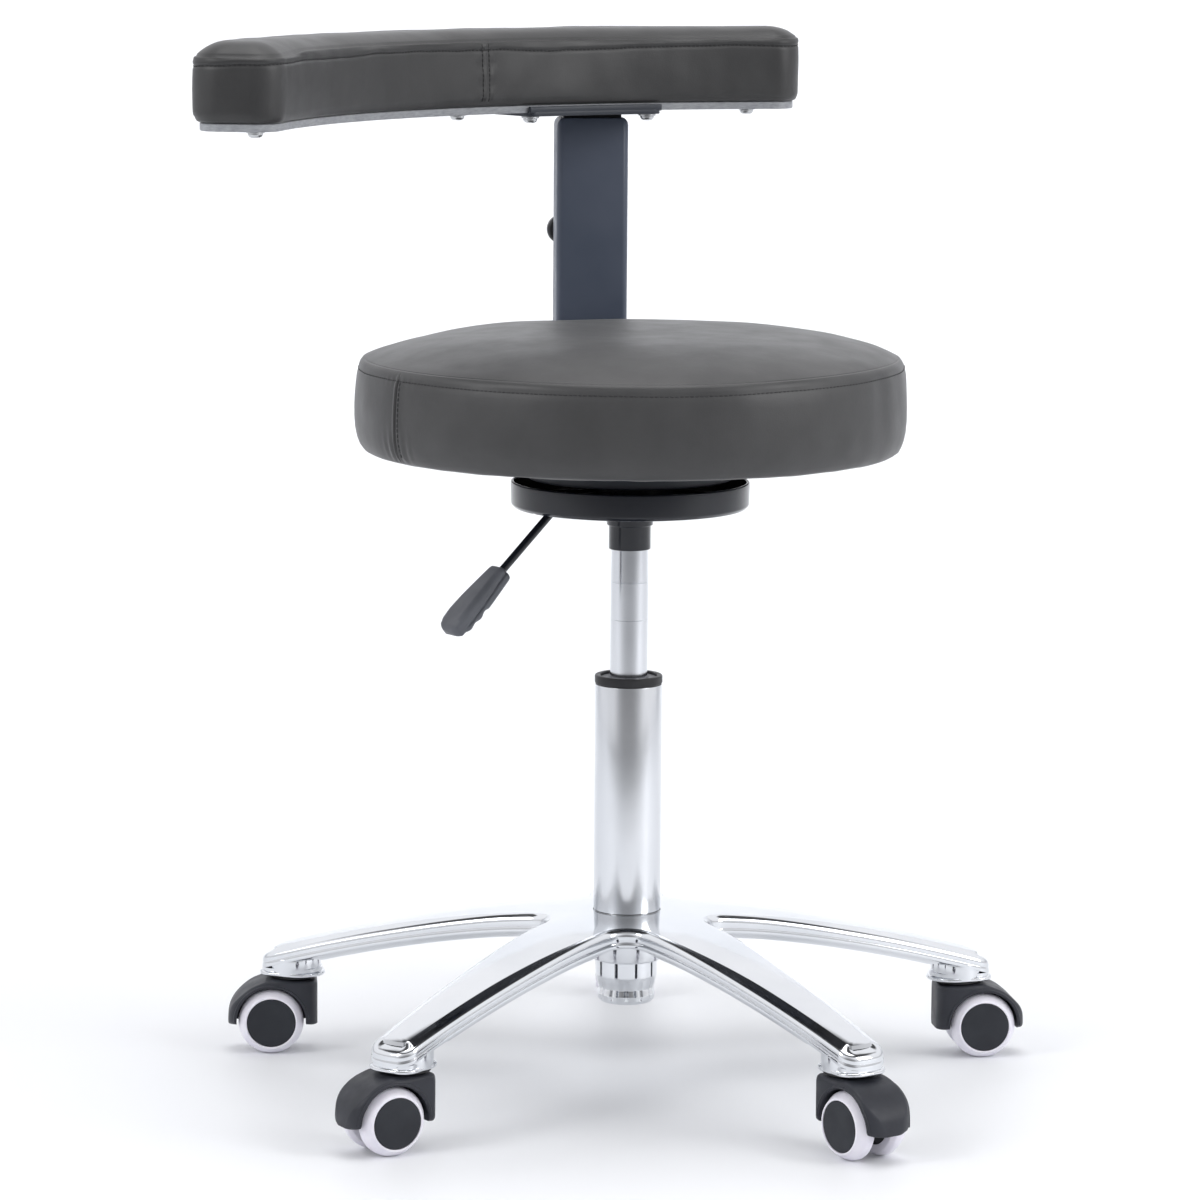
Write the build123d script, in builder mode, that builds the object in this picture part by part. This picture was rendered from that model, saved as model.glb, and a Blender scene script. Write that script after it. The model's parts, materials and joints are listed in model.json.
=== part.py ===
from build123d import *
from math import cos, radians, sin
import os

# Adjustable swivel stool with a swinging padded arm.
# Millimetres, +Z up. The origin is on the floor, on the axis of the gas column.

# ---- driving dimensions ------------------------------------------------------------
# star base
arm_angles = [90 + 72 * i for i in range(5)]
stem_radius = 268.3            # from the column axis to each caster stem
arm_reach = 291.0              # from the column axis to an arm's tip
arm_root_width = 70.0          # width of an arm carried back to the column axis
arm_tip_width = 37.0
hub_top = 128.4
tip_top = 77.0
skirt_depth = 13.5             # full-width side wall under the top edge
keel_inset = 4.5               # how far the keels stand in from the side walls
keel_points = [(320, 56), (248, 70.5), (209, 80.0), (165, 90.5), (127, 99), (99, 103.5), (0, 108)]
skin = 4.5                     # wall of the casting
boss_radius = 18.0
boss_bottom = 59.7
hub_sleeve_radius = 31.0
socket_bottom = 92.0           # where the column's taper ends in the hub

# gas column
column_radius = 25.0
column_top = 301.0
column_inner_radius = 23.0
neck_radius = 19.0
taper_foot, taper_head = 23.2, 24.9   # the column's taper in the hub
cylinder_radius = 14.0
cylinder_bottom = 184.0
cylinder_top = 438.0
cone_start = 378.0
rod_radius = 5.0
running = 0.05                 # radial clearance of the running fits

# seat mechanism
socket_radius = 17.2
collar_radius = 15.6
collar_bottom, collar_top = 402.7, 420.7
pan_radius = 88.8
pan_bottom, pan_rim = 435.4, 453.7
pan_wall = 2.5
boss_post_radius = 32.0
ring_bottom, ring_top = 456.0, 466.0
plate_bottom, plate_top = 470.0, 476.9

# seat
board_radius = 191.0
board_bottom, board_top = 477.9, 490.0
seat_radius = 204.8
seat_bottom, seat_crown = 476.8, 565.0

# swinging arm
arm_angle = 97.8
post_radius = 232.0
post_width, post_depth, post_wall = 56.0, 28.0, 2.5
post_top = 711.0
liner_thickness = 2.5
slider_bottom, flange_bottom, flange_top = 515.0, 715.0, 719.0
flange_first_angle, flange_last_angle = 113.8, 128.4   # about the pad's centre
lip_top, lip_thickness = 722.6, 3.0
knob_height = 621.0
stud_radius = 5.0

# arm pad: a band between two arcs about one centre
pad_centre = (211.0, -222.0)
pad_inner, pad_outer = 465.0, 530.0
pad_first_angle, pad_last_angle = 99.6, 172.6
pad_corner = 22.0
pad_board_thickness = 4.5
pad_top = 781.0

# lever
lever_angle = 215.0
lever_height = 447.0
lever_pivot = 24.0
lever_radius = 3.0
lever_bend = (57.0, 447.0)     # radius from the column axis, height
lever_grip_start = (108.0, 400.5)
lever_grip_length = 71.0
cross_pin_radius = 2.0

# casters
wheel_radius = 25.0
wheel_inner_face, wheel_outer_face = 7.5, 23.0
cap_radius = 18.8
trail = 18.0
axle_radius = 4.0
stem_pin_radius = 5.5
stem_pin_bottom, stem_pin_top = 33.5, 76.7
stem_collar_radius = 10.0
hood_outer, hood_inner = 33.0, 26.5
hood_front = 19.0              # from the stem axis to the flat front face
hood_half_width = 20.6
hood_corner = 8.0
hood_top = 57.5
trail_angles = [90.0, 184.0, 210.0, 305.5, 8.0]


def polar(radius, angle, height=0.0):
    """A point at a radius and an angle in degrees about the column axis."""
    return (radius * cos(radians(angle)), radius * sin(radians(angle)), height)


def ring(outer, inner, bottom, top):
    """A flat ring about the column axis."""
    with BuildPart() as band:
        with BuildSketch(Plane.XY.offset(bottom)):
            Circle(outer)
            Circle(inner, mode=Mode.SUBTRACT)
        extrude(amount=top - bottom)
    return band.part


def height_off(plane, edge):
    """How far an edge's middle stands off a plane."""
    return plane.to_local_coords(edge.center()).Z


def write(name, part):
    """Label a finished piece and write its STEP file."""
    part.label = name
    export_step(part, f"parts/{name}.step")


os.makedirs("parts", exist_ok=True)


# ---- star base ---------------------------------------------------------------------
def arm_half_width(reach):
    """Half the width of an arm at a distance from the column axis."""
    return (arm_root_width + (arm_tip_width - arm_root_width) * reach / arm_reach) / 2


def star_outline(inset, reach, crotch_fillet, tip_fillet):
    """The plan of the five arms, drawn in by an inset."""
    root, tip = arm_half_width(0) - inset, arm_half_width(reach) - inset
    with BuildSketch() as plan:
        for angle in arm_angles:
            corners = [(0, -root), (reach, -tip), (reach, tip), (0, root)]
            with BuildSketch(mode=Mode.PRIVATE) as arm:
                Polygon(*corners, align=None)
                tips = arm.vertices().sort_by(Axis.X)[-2:]
                fillet(tips, tip_fillet)
            add(arm.sketch.rotate(Axis.Z, angle))
        Circle(root)
        crotches = plan.vertices().filter_by(lambda v: v.center().length < arm_root_width)
        fillet(crotches, crotch_fillet)
    return plan.sketch


def crown(drop, reach):
    """A body of revolution from the floor up to the arms' top line, lowered by a drop."""
    middle = (162.0, 110.8 - drop)
    with BuildPart() as body:
        with BuildSketch(Plane.XZ):
            with BuildLine():
                Line((0, 0), (reach, 0))
                Line((reach, 0), (reach, tip_top - drop))
                ThreePointArc((reach, tip_top - drop), middle, (52, 127.0 - drop))
                Line((52, 127.0 - drop), (column_radius + 3, hub_top - drop))
                Line((column_radius + 3, hub_top - drop), (0, hub_top - drop))
                Line((0, hub_top - drop), (0, 0))
            make_face()
        revolve(axis=Axis.Z)
    return body.part


def below_keels():
    """A body of revolution from the floor up to the keels' underside."""
    with BuildPart() as body:
        with BuildSketch(Plane.XZ):
            with BuildLine():
                Polyline((0, 0), (320, 0), *keel_points, (0, 0))
            make_face()
        revolve(axis=Axis.Z)
    return body.part


def prism(outline):
    """An outline carried up past the top of the base."""
    with BuildPart() as body:
        add(outline)
        extrude(amount=hub_top + 10)
    return body.part


keel_reach = arm_reach - 14
crotch_radius, tip_radius = 18.0, 12.0
outer_star = prism(star_outline(0, arm_reach, crotch_radius, tip_radius))
keel_star = prism(star_outline(keel_inset, keel_reach, crotch_radius, 9.0))
hollow_star = prism(star_outline(keel_inset + skin, keel_reach - skin, crotch_radius, 5.0))

with BuildPart() as star_base:
    add((outer_star & crown(0, arm_reach + 30)) - crown(skirt_depth, arm_reach + 30))
    add((keel_star & crown(3, arm_reach + 30)) - below_keels())
    add(hollow_star & crown(skin, arm_reach - 20), mode=Mode.SUBTRACT)
    with BuildSketch(Plane.XY.offset(boss_bottom)):
        for angle in arm_angles:
            with Locations(polar(stem_radius, angle)[:2]):
                Circle(boss_radius)
    extrude(amount=tip_top - boss_bottom)
    with BuildSketch(Plane.XY.offset(socket_bottom)):
        Circle(hub_sleeve_radius)
    extrude(amount=hub_top - 3 - socket_bottom)
    with BuildSketch(Plane.XZ):
        Polygon((0, 80), (taper_foot + running, 80), (taper_foot + running, socket_bottom),
                (taper_head + running, hub_top), (taper_head + running, 140), (0, 140), align=None)
    revolve(axis=Axis.Z, mode=Mode.SUBTRACT)
    with BuildSketch(Plane.XY.offset(boss_bottom)):
        for angle in arm_angles:
            with Locations(polar(stem_radius, angle)[:2]):
                Circle(stem_pin_radius + running)
    extrude(amount=stem_pin_top + 0.5 - boss_bottom, mode=Mode.SUBTRACT)
write("star_base", star_base.part)


# ---- gas column --------------------------------------------------------------------
cup_facets = 12
cup_bottom, cup_waist, cup_top = 59.5, 72.0, 91.5
cup_foot_radius, cup_radius = 20.5, 23.0
flute_ring, flute_radius = 27.0, 6.0

with BuildPart() as bottom_cup:
    with BuildSketch(Plane.XZ):
        with BuildLine():
            Line((0, cup_bottom), (cup_foot_radius, cup_bottom))
            Line((cup_foot_radius, cup_bottom), (22.4, cup_bottom + 2))
            ThreePointArc((22.4, cup_bottom + 2), (21.4, cup_waist), (21.8, cup_top - 8))
            Line((21.8, cup_top - 8), (cup_radius, cup_top - 6))
            Line((cup_radius, cup_top - 6), (cup_radius, cup_top))
            Line((cup_radius, cup_top), (0, cup_top))
            Line((0, cup_top), (0, cup_bottom))
        make_face()
    revolve(axis=Axis.Z)
    with BuildSketch(Plane.XY.offset(cup_bottom)):
        with PolarLocations(flute_ring, cup_facets):
            Circle(flute_radius)
    extrude(amount=cup_top - 9 - cup_bottom, mode=Mode.SUBTRACT)
    with BuildSketch(Plane.XY.offset(cup_bottom + 2)):
        Circle(neck_radius + running)
    extrude(amount=cup_top - cup_bottom, mode=Mode.SUBTRACT)
write("bottom_cup", bottom_cup.part)

column_foot = 63.0
with BuildPart() as outer_column:
    with BuildSketch(Plane.XZ):
        Polygon((0, column_foot), (neck_radius, column_foot), (neck_radius, socket_bottom - 0.2),
                (taper_foot, socket_bottom), (taper_head, hub_top), (column_radius, hub_top + 0.2),
                (column_radius, column_top), (0, column_top), align=None)
    revolve(axis=Axis.Z)
    chamfer(outer_column.edges().group_by(Axis.Z)[-1], 0.8)
    with BuildSketch(Plane.XZ):
        Polygon((0, 66), (16.5, 66), (16.5, 93), (21, 96), (21, 128), (column_inner_radius, 131),
                (column_inner_radius, column_top + 1), (0, column_top + 1), align=None)
    revolve(axis=Axis.Z, mode=Mode.SUBTRACT)
    with BuildSketch(Plane.XY.offset(60)):
        Circle(rod_radius + 1)
    extrude(amount=10, mode=Mode.SUBTRACT)
write("outer_column", outer_column.part)

cap_top = 308.0
with BuildPart() as column_cap:
    add(ring(25.3, 21.0, column_top, cap_top))
    fillet(column_cap.edges().group_by(Axis.Z)[-1], 1.2)
write("column_cap", column_cap.part)

bush_bottom = 214.0
with BuildPart() as guide_bush:
    add(ring(column_inner_radius - 0.05, cylinder_radius + running, bush_bottom, column_top))
    add(ring(20.8, cylinder_radius + running, column_top, column_top + 2.5))
write("guide_bush", guide_bush.part)

rod_shoulder = 70.0
write("thrust_bearing", ring(14.0, rod_radius + 0.5, 66.0, rod_shoulder))


# ---- piston rod, which turns in the foot of the column --------------------------------
piston_bottom, piston_top = 262.0, 280.0
bore_radius = cylinder_radius - 2.0
clip_bottom, clip_neck = 62.0, 3.6

with BuildPart() as piston_rod:
    with BuildSketch(Plane.XY.offset(clip_bottom)):
        Circle(clip_neck)
    extrude(amount=piston_top + 2 - clip_bottom)
    with BuildSketch(Plane.XY.offset(64.0)):
        Circle(rod_radius)
    extrude(amount=piston_bottom - 64.0)
    with BuildSketch(Plane.XY.offset(rod_shoulder)):
        Circle(9.0)
    extrude(amount=4.0)
write("piston_rod", piston_rod.part)
write("piston", ring(bore_radius - running, clip_neck, piston_bottom, piston_top))
write("retaining_clip", ring(8.0, clip_neck, clip_bottom, clip_bottom + 0.8))

# ---- pressure cylinder, which carries the seat ---------------------------------------
with BuildPart() as gas_cylinder:
    with BuildSketch(Plane.XZ):
        Polygon((0, cylinder_bottom), (cylinder_radius, cylinder_bottom), (cylinder_radius, cone_start),
                (13.85, cone_start + 1), (13.0, cylinder_top), (0, cylinder_top), align=None)
    revolve(axis=Axis.Z)
    with BuildSketch(Plane.XY.offset(cylinder_bottom + 14)):
        Circle(bore_radius)
    extrude(amount=cone_start - 8 - cylinder_bottom - 14, mode=Mode.SUBTRACT)
    with BuildSketch(Plane.XY.offset(cylinder_bottom - 1)):
        Circle(rod_radius + running)
    extrude(amount=20, mode=Mode.SUBTRACT)
    with BuildSketch(Plane.XY.offset(cone_start - 10)):
        Circle(2.55)
    extrude(amount=80, mode=Mode.SUBTRACT)
write("gas_cylinder", gas_cylinder.part)

pin_top = lever_height - lever_radius - 0.05
with BuildPart() as release_pin:
    with BuildSketch(Plane.XY.offset(cone_start)):
        Circle(2.5)
    extrude(amount=pin_top - cone_start)
    fillet(release_pin.edges().group_by(Axis.Z)[-1], 0.8)
write("release_pin", release_pin.part)

# ---- seat mechanism ------------------------------------------------------------------
lever_plane = Plane(origin=(0, 0, 0), x_dir=polar(1, lever_angle), z_dir=polar(1, lever_angle - 90))

with BuildPart() as mechanism_housing:
    with BuildSketch(Plane.XZ):
        Polygon((0, collar_bottom), (collar_radius, collar_bottom), (collar_radius, collar_top),
                (socket_radius, collar_top), (socket_radius, pan_bottom - 1.5), (26, pan_bottom - 1.5),
                (26, pan_bottom + pan_wall), (50, pan_bottom + pan_wall), (50, 441),
                (boss_post_radius, 441), (boss_post_radius, ring_bottom - 2.4), (38, ring_bottom - 2.4),
                (38, ring_bottom - 0.4), (boss_post_radius, ring_bottom - 0.4),
                (boss_post_radius, plate_bottom), (0, plate_bottom), align=None)
    revolve(axis=Axis.Z)
    with BuildSketch(Plane.XZ):
        Polygon((0, collar_bottom - 1), (13.55, collar_bottom - 1), (13.03, cylinder_top),
                (13.03, cylinder_top + 2), (18, cylinder_top + 4), (18, plate_bottom - 3),
                (0, plate_bottom - 3), align=None)
    revolve(axis=Axis.Z, mode=Mode.SUBTRACT)
    with BuildSketch(lever_plane):
        with Locations((40, lever_height + 1)):
            Rectangle(80, 11)
    extrude(amount=5, both=True, mode=Mode.SUBTRACT)
    with BuildSketch(lever_plane):
        with Locations((lever_pivot, lever_height)):
            Circle(cross_pin_radius + running)
    extrude(amount=9.2, both=True, mode=Mode.SUBTRACT)
write("mechanism_housing", mechanism_housing.part)

with BuildPart() as seat_pan:
    with BuildSketch(Plane.XZ):
        with BuildLine():
            Line((26.05, pan_bottom), (pan_radius - 3, pan_bottom))
            RadiusArc((pan_radius - 3, pan_bottom), (pan_radius, pan_bottom + 3), -3)
            Line((pan_radius, pan_bottom + 3), (pan_radius, pan_rim))
            Line((pan_radius, pan_rim), (pan_radius - pan_wall, pan_rim))
            Line((pan_radius - pan_wall, pan_rim), (pan_radius - pan_wall, pan_bottom + pan_wall))
            Line((pan_radius - pan_wall, pan_bottom + pan_wall), (26.05, pan_bottom + pan_wall))
            Line((26.05, pan_bottom + pan_wall), (26.05, pan_bottom))
        make_face()
    revolve(axis=Axis.Z)
    with BuildSketch(Plane(origin=(0, 0, pan_bottom - 1), x_dir=polar(1, lever_angle))):
        with Locations((71.5, 0)):
            SlotOverall(27, 9)
    extrude(amount=6, mode=Mode.SUBTRACT)
write("seat_pan", seat_pan.part)

write("swivel_washer", ring(50.0, boss_post_radius + 0.1, ring_top + 0.3, plate_bottom - 0.3))

bolt_ring, bolt_hole, bolt_count = 62.0, 3.3, 4
with BuildPart() as top_plate:
    with BuildSketch(Plane.XY.offset(plate_bottom)):
        Circle(80)
        with PolarLocations(bolt_ring, bolt_count, start_angle=45):
            Circle(bolt_hole, mode=Mode.SUBTRACT)
    extrude(amount=plate_top - plate_bottom)
write("top_plate", top_plate.part)

with BuildPart() as plate_bolts:
    with BuildSketch(Plane.XY.offset(plate_bottom)):
        with PolarLocations(bolt_ring, bolt_count, start_angle=45):
            Circle(bolt_hole - 0.1)
    extrude(amount=board_top - 1 - plate_bottom)
    with BuildSketch(Plane.XY.offset(plate_bottom - 3.2)):
        with PolarLocations(bolt_ring, bolt_count, start_angle=45):
            Circle(6.0)
    extrude(amount=3.2)
write("plate_bolts", plate_bolts.part)

# ---- seat ----------------------------------------------------------------------------
with BuildPart() as seat_board:
    with BuildSketch(Plane.XY.offset(board_bottom)):
        Circle(board_radius)
        with PolarLocations(bolt_ring, bolt_count, start_angle=45):
            Circle(bolt_hole, mode=Mode.SUBTRACT)
    extrude(amount=board_top - board_bottom)
    chamfer(seat_board.edges().group_by(Axis.Z)[-1].sort_by(SortBy.LENGTH)[-1], 2)
write("seat_board", seat_board.part)

with BuildPart() as dust_cloth:
    with BuildSketch(Plane.XY.offset(plate_top)):
        Circle(board_radius)
        with PolarLocations(bolt_ring, bolt_count, start_angle=45):
            Circle(bolt_hole, mode=Mode.SUBTRACT)
    extrude(amount=board_bottom - plate_top)
write("dust_cloth", dust_cloth.part)

with BuildPart() as seat_cushion:
    with BuildSketch(Plane.XZ):
        with BuildLine():
            Line((0, board_top + 0.2), (board_radius + 0.5, board_top + 0.2))
            Line((board_radius + 0.5, board_top + 0.2), (board_radius + 0.5, seat_bottom))
            Line((board_radius + 0.5, seat_bottom), (198, seat_bottom))
            ThreePointArc((198, seat_bottom), (202.9, 486.5), (seat_radius, 500))
            ThreePointArc((seat_radius, 500), (204.3, 520), (201.8, 538))
            ThreePointArc((201.8, 538), (200, 543), (195, 546))
            ThreePointArc((195, 546), (135, 559), (60, seat_crown))
            Line((60, seat_crown), (0, seat_crown))
            Line((0, seat_crown), (0, board_top + 0.2))
        make_face()
    revolve(axis=Axis.Z)
write("seat_cushion", seat_cushion.part)

# ---- lever ---------------------------------------------------------------------------
start = lever_plane.from_local_coords((-4, lever_height))
bend = lever_plane.from_local_coords(lever_bend)
grip_origin = lever_plane.from_local_coords(lever_grip_start)
grip_distance = (grip_origin - bend).length
grip_direction = (grip_origin - bend).normalized()

with BuildPart() as lever_rod:
    with BuildLine() as route:
        FilletPolyline(start, bend, bend + grip_direction * (grip_distance + 15), radius=9)
    with BuildSketch(Plane(origin=route.line @ 0, z_dir=route.line % 0)):
        Circle(lever_radius)
    sweep()
    with BuildSketch(lever_plane):
        with Locations((lever_pivot, lever_height)):
            Circle(cross_pin_radius)
    extrude(amount=9, both=True)
write("lever_rod", lever_rod.part)

# distance along the grip, width, thickness
grip_sections = [(0, 11, 11), (14, 15, 13), (38, 24, 15)]
grip_sections += [(lever_grip_length - 8, 22, 13), (lever_grip_length, 15, 9)]
grip_plane = Plane(origin=grip_origin, x_dir=polar(1, lever_angle - 90), z_dir=grip_direction)

with BuildPart() as lever_handle:
    for distance, width, thickness in grip_sections:
        with BuildSketch(grip_plane.offset(distance)):
            RectangleRounded(width, thickness, thickness * 0.42)
    loft(ruled=False)
    with BuildSketch(grip_plane.offset(-1)):
        Circle(lever_radius)
    extrude(amount=17, mode=Mode.SUBTRACT)
write("lever_handle", lever_handle.part)


# ---- plan shapes about the pad's centre ------------------------------------------------
def sector(height, inner, outer, first, last, corner):
    """A band between two arcs about the pad's centre, with rounded corners."""
    with BuildSketch(Plane.XY.offset(height)) as plan:
        with BuildLine():
            near = CenterArc(pad_centre, inner, first, last - first)
            far = CenterArc(pad_centre, outer, first, last - first)
            Line(near @ 0, far @ 0)
            Line(near @ 1, far @ 1)
        make_face()
        fillet(plan.vertices(), corner)
    return plan.sketch


def pad_place(radius, angle, height=0.0):
    """A point at a radius and an angle about the pad's centre."""
    across = polar(radius, angle, height)
    return (pad_centre[0] + across[0], pad_centre[1] + across[1], height)


# ---- swinging arm --------------------------------------------------------------------
arm_plane = Plane(origin=(0, 0, 0), x_dir=polar(1, arm_angle), z_dir=(0, 0, 1))
post_plane = Plane(origin=polar(post_radius, arm_angle), x_dir=polar(1, arm_angle), z_dir=(0, 0, 1))

with BuildPart() as arm_bracket:
    with BuildSketch(arm_plane.offset(ring_bottom)):
        Circle(76)
        with Locations((post_radius / 2 + post_depth / 4, 0)):
            Rectangle(post_radius + post_depth / 2, post_width)
        Circle(boss_post_radius + running, mode=Mode.SUBTRACT)
    extrude(amount=ring_top - ring_bottom)
write("arm_bracket", arm_bracket.part)

rear_plane = Plane(origin=polar(post_radius + post_depth / 2 - 1, arm_angle, knob_height),
                   x_dir=polar(1, arm_angle - 90), z_dir=polar(1, arm_angle))
post_inner_width, post_inner_depth = post_width - 2 * post_wall, post_depth - 2 * post_wall

with BuildPart() as arm_post:
    with BuildSketch(post_plane.offset(ring_top)):
        RectangleRounded(post_depth, post_width, 4)
        RectangleRounded(post_inner_depth, post_inner_width, 1.5, mode=Mode.SUBTRACT)
    extrude(amount=post_top - ring_top)
    with BuildSketch(rear_plane):
        Circle(9)
    extrude(amount=9)
    with BuildSketch(rear_plane.offset(-4)):
        Circle(stud_radius + running)
    extrude(amount=20, mode=Mode.SUBTRACT)
write("arm_post", arm_post.part)

bar_width = post_inner_width - 2 * liner_thickness
bar_depth = post_inner_depth - 2 * liner_thickness
with BuildPart() as post_liner:
    with BuildSketch(post_plane.offset(645)):
        RectangleRounded(post_inner_depth, post_inner_width, 1.5)
        RectangleRounded(bar_depth, bar_width, 1.0, mode=Mode.SUBTRACT)
    extrude(amount=post_top - 0.5 - 645)
write("post_liner", post_liner.part)


bar_gap = 2 * running
board_inset = 2.5
lip_inner = pad_inner + board_inset - lip_thickness
flange_screws = [(478, 114.6), (478, 127.2)]
board_screws = [(480, 104.6), (480, 135.7), (484, 171.2)]
screw_radius = 2.5
with BuildPart() as arm_slider:
    with BuildSketch(post_plane.offset(slider_bottom)):
        RectangleRounded(bar_depth - bar_gap, bar_width - bar_gap, 1.0)
        RectangleRounded(bar_depth - 6, bar_width - 6, 1.0, mode=Mode.SUBTRACT)
    extrude(amount=flange_bottom - slider_bottom)
    add(sector(flange_bottom, lip_inner, pad_outer, flange_first_angle, flange_last_angle, 5))
    extrude(amount=flange_top - flange_bottom)
    add(sector(flange_top, lip_inner, lip_inner + lip_thickness - 0.1,
               flange_first_angle, flange_last_angle, 0.5))
    extrude(amount=lip_top - flange_top)
    with BuildSketch(Plane.XY.offset(flange_bottom)):
        with Locations(*[pad_place(*place)[:2] for place in flange_screws]):
            Circle(screw_radius + 0.1)
    extrude(amount=10, mode=Mode.SUBTRACT)
write("arm_slider", arm_slider.part)

with BuildPart() as clamp_screw:
    with BuildSketch(rear_plane.offset(1 - post_wall - liner_thickness + 0.1)):
        Circle(stud_radius)
    extrude(amount=26)
write("clamp_screw", clamp_screw.part)

lobes = 5
knob_bottom, knob_face = 10.0, 28.5
lobe_bottom = knob_bottom + 3.5
with BuildPart() as star_knob:
    with BuildSketch(rear_plane.offset(knob_bottom)):
        Circle(9.5)
    extrude(amount=lobe_bottom - knob_bottom + 0.5)
    with BuildSketch(rear_plane.offset(lobe_bottom)) as star:
        Circle(17)
        with PolarLocations(18.5, lobes, start_angle=180):
            Circle(11.5)
        fillet(star.vertices(), 3)
    extrude(amount=knob_face - lobe_bottom)
    fillet(star_knob.edges().filter_by(lambda e: abs(height_off(rear_plane, e) - knob_face) < 0.1), 3)
    with BuildSketch(rear_plane.offset(9)):
        Circle(stud_radius)
    extrude(amount=26 + 1 - post_wall - liner_thickness + 0.1 - 9, mode=Mode.SUBTRACT)
write("star_knob", star_knob.part)


# ---- arm pad -------------------------------------------------------------------------
pad_bottom = flange_top + pad_board_thickness
with BuildPart() as pad_board:
    trim = 0.3
    add(sector(flange_top, pad_inner + board_inset, pad_outer - board_inset,
               pad_first_angle + trim, pad_last_angle - trim, pad_corner))
    extrude(amount=pad_board_thickness)
    with BuildSketch(Plane.XY.offset(flange_top)):
        with Locations(*[pad_place(*place)[:2] for place in flange_screws + board_screws]):
            Circle(screw_radius + 0.1)
    extrude(amount=pad_board_thickness, mode=Mode.SUBTRACT)
write("pad_board", pad_board.part)

with BuildPart() as arm_pad:
    add(sector(pad_bottom, pad_inner, pad_outer, pad_first_angle, pad_last_angle, pad_corner))
    extrude(amount=pad_top - pad_bottom)
    fillet(arm_pad.edges().group_by(Axis.Z)[-1], 12)
    fillet(arm_pad.edges().group_by(Axis.Z)[0], 3)
write("arm_pad", arm_pad.part)

head_radius, head_height, washer_radius, washer_height = 5.5, 3.6, 6.8, 1.8


def pad_screw(place, seat, washer):
    """A button-head screw driven upwards from a seat height, with or without a washer."""
    foot = Plane(origin=pad_place(*place, seat), z_dir=(0, 0, -1))
    with BuildPart() as screw:
        with BuildSketch(foot):
            Circle(screw_radius)
        extrude(amount=-(pad_bottom - 0.2 - seat))
        with BuildSketch(foot):
            Circle(washer_radius)
        extrude(amount=washer)
        with BuildSketch(foot.offset(washer)):
            Circle(head_radius)
        extrude(amount=head_height)
        fillet(screw.edges().group_by(Axis.Z)[0], 1.8)
        with BuildSketch(foot.offset(washer + head_height - 1.6)):
            RegularPolygon(2.0, 6)
        extrude(amount=3, mode=Mode.SUBTRACT)
    return screw.part


with BuildPart() as pad_screws:
    for place in flange_screws:
        add(pad_screw(place, flange_bottom, washer_height))
    for place in board_screws:
        add(pad_screw(place, flange_top, washer_height / 3))
write("pad_screws", pad_screws.part)


# ---- casters -------------------------------------------------------------------------
def caster_frame(arm, swing):
    """A caster's own frame: origin on the floor under its stem, x along the trail."""
    return Plane(origin=polar(stem_radius, arm), x_dir=polar(1, swing), z_dir=(0, 0, 1))


def side_plane(arm, swing):
    """The caster's middle plane, x along the trail and y up."""
    return Plane(origin=polar(stem_radius, arm), x_dir=polar(1, swing), z_dir=polar(1, swing - 90))


def wheel_plane(arm, swing, side):
    """A plane through the axle, x along the axle to one side and y up."""
    centre = side_plane(arm, swing).from_local_coords((trail, wheel_radius))
    outward = polar(side, swing - 90)
    return Plane(origin=centre, x_dir=outward, z_dir=polar(-side, swing))


def axle_plane(arm, swing, side):
    """The caster's middle plane seen along the axle, facing one side."""
    centre = side_plane(arm, swing).from_local_coords((trail, wheel_radius))
    return Plane(origin=centre, x_dir=(0, 0, 1), z_dir=polar(side, swing - 90))


def caster_hood(arm, swing):
    """The fork body with its fenders."""
    side = side_plane(arm, swing)
    with BuildPart() as hood:
        with BuildSketch(side):
            with Locations((trail, wheel_radius)):
                Circle(hood_outer)
            with Locations((0, (hood_top + 22) / 2)):
                Rectangle(2 * hood_front, hood_top - 22)
            with Locations((trail, 0)):
                Rectangle(120, 44, mode=Mode.SUBTRACT)
        extrude(amount=hood_half_width, both=True)
        upright = hood.edges().filter_by(GeomType.LINE).filter_by(lambda e: abs(e.tangent_at(0).Z) > 0.99)
        fillet(upright, hood_corner)
        with BuildSketch(side):
            with Locations((trail, wheel_radius)):
                Circle(hood_inner)
        extrude(amount=hood_half_width + 1, both=True, mode=Mode.SUBTRACT)
        with BuildSketch(side):
            with Locations((trail, wheel_radius)):
                Circle(hood_inner + 1)
            with Locations((trail, 4)):
                Rectangle(60, 22, mode=Mode.SUBTRACT)
        extrude(amount=wheel_inner_face - 1.5, both=True)
        with BuildSketch(side):
            with Locations((trail, wheel_radius)):
                Circle(axle_radius)
        extrude(amount=30, both=True, mode=Mode.SUBTRACT)
        with BuildSketch(caster_frame(arm, swing).offset(stem_pin_bottom)):
            Circle(stem_pin_radius)
        extrude(amount=40, mode=Mode.SUBTRACT)
    return hood.part


def caster_pins(arm, swing):
    """The stem with its collar, and the axle."""
    base = caster_frame(arm, swing)
    with BuildPart() as pins:
        with BuildSketch(base.offset(stem_pin_bottom)):
            Circle(stem_pin_radius)
        extrude(amount=stem_pin_top - stem_pin_bottom)
        with BuildSketch(base.offset(hood_top)):
            Circle(stem_collar_radius)
        extrude(amount=1.8)
        with BuildSketch(side_plane(arm, swing)):
            with Locations((trail, wheel_radius)):
                Circle(axle_radius)
        extrude(amount=wheel_outer_face - 3, both=True)
    return pins.part


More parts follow.
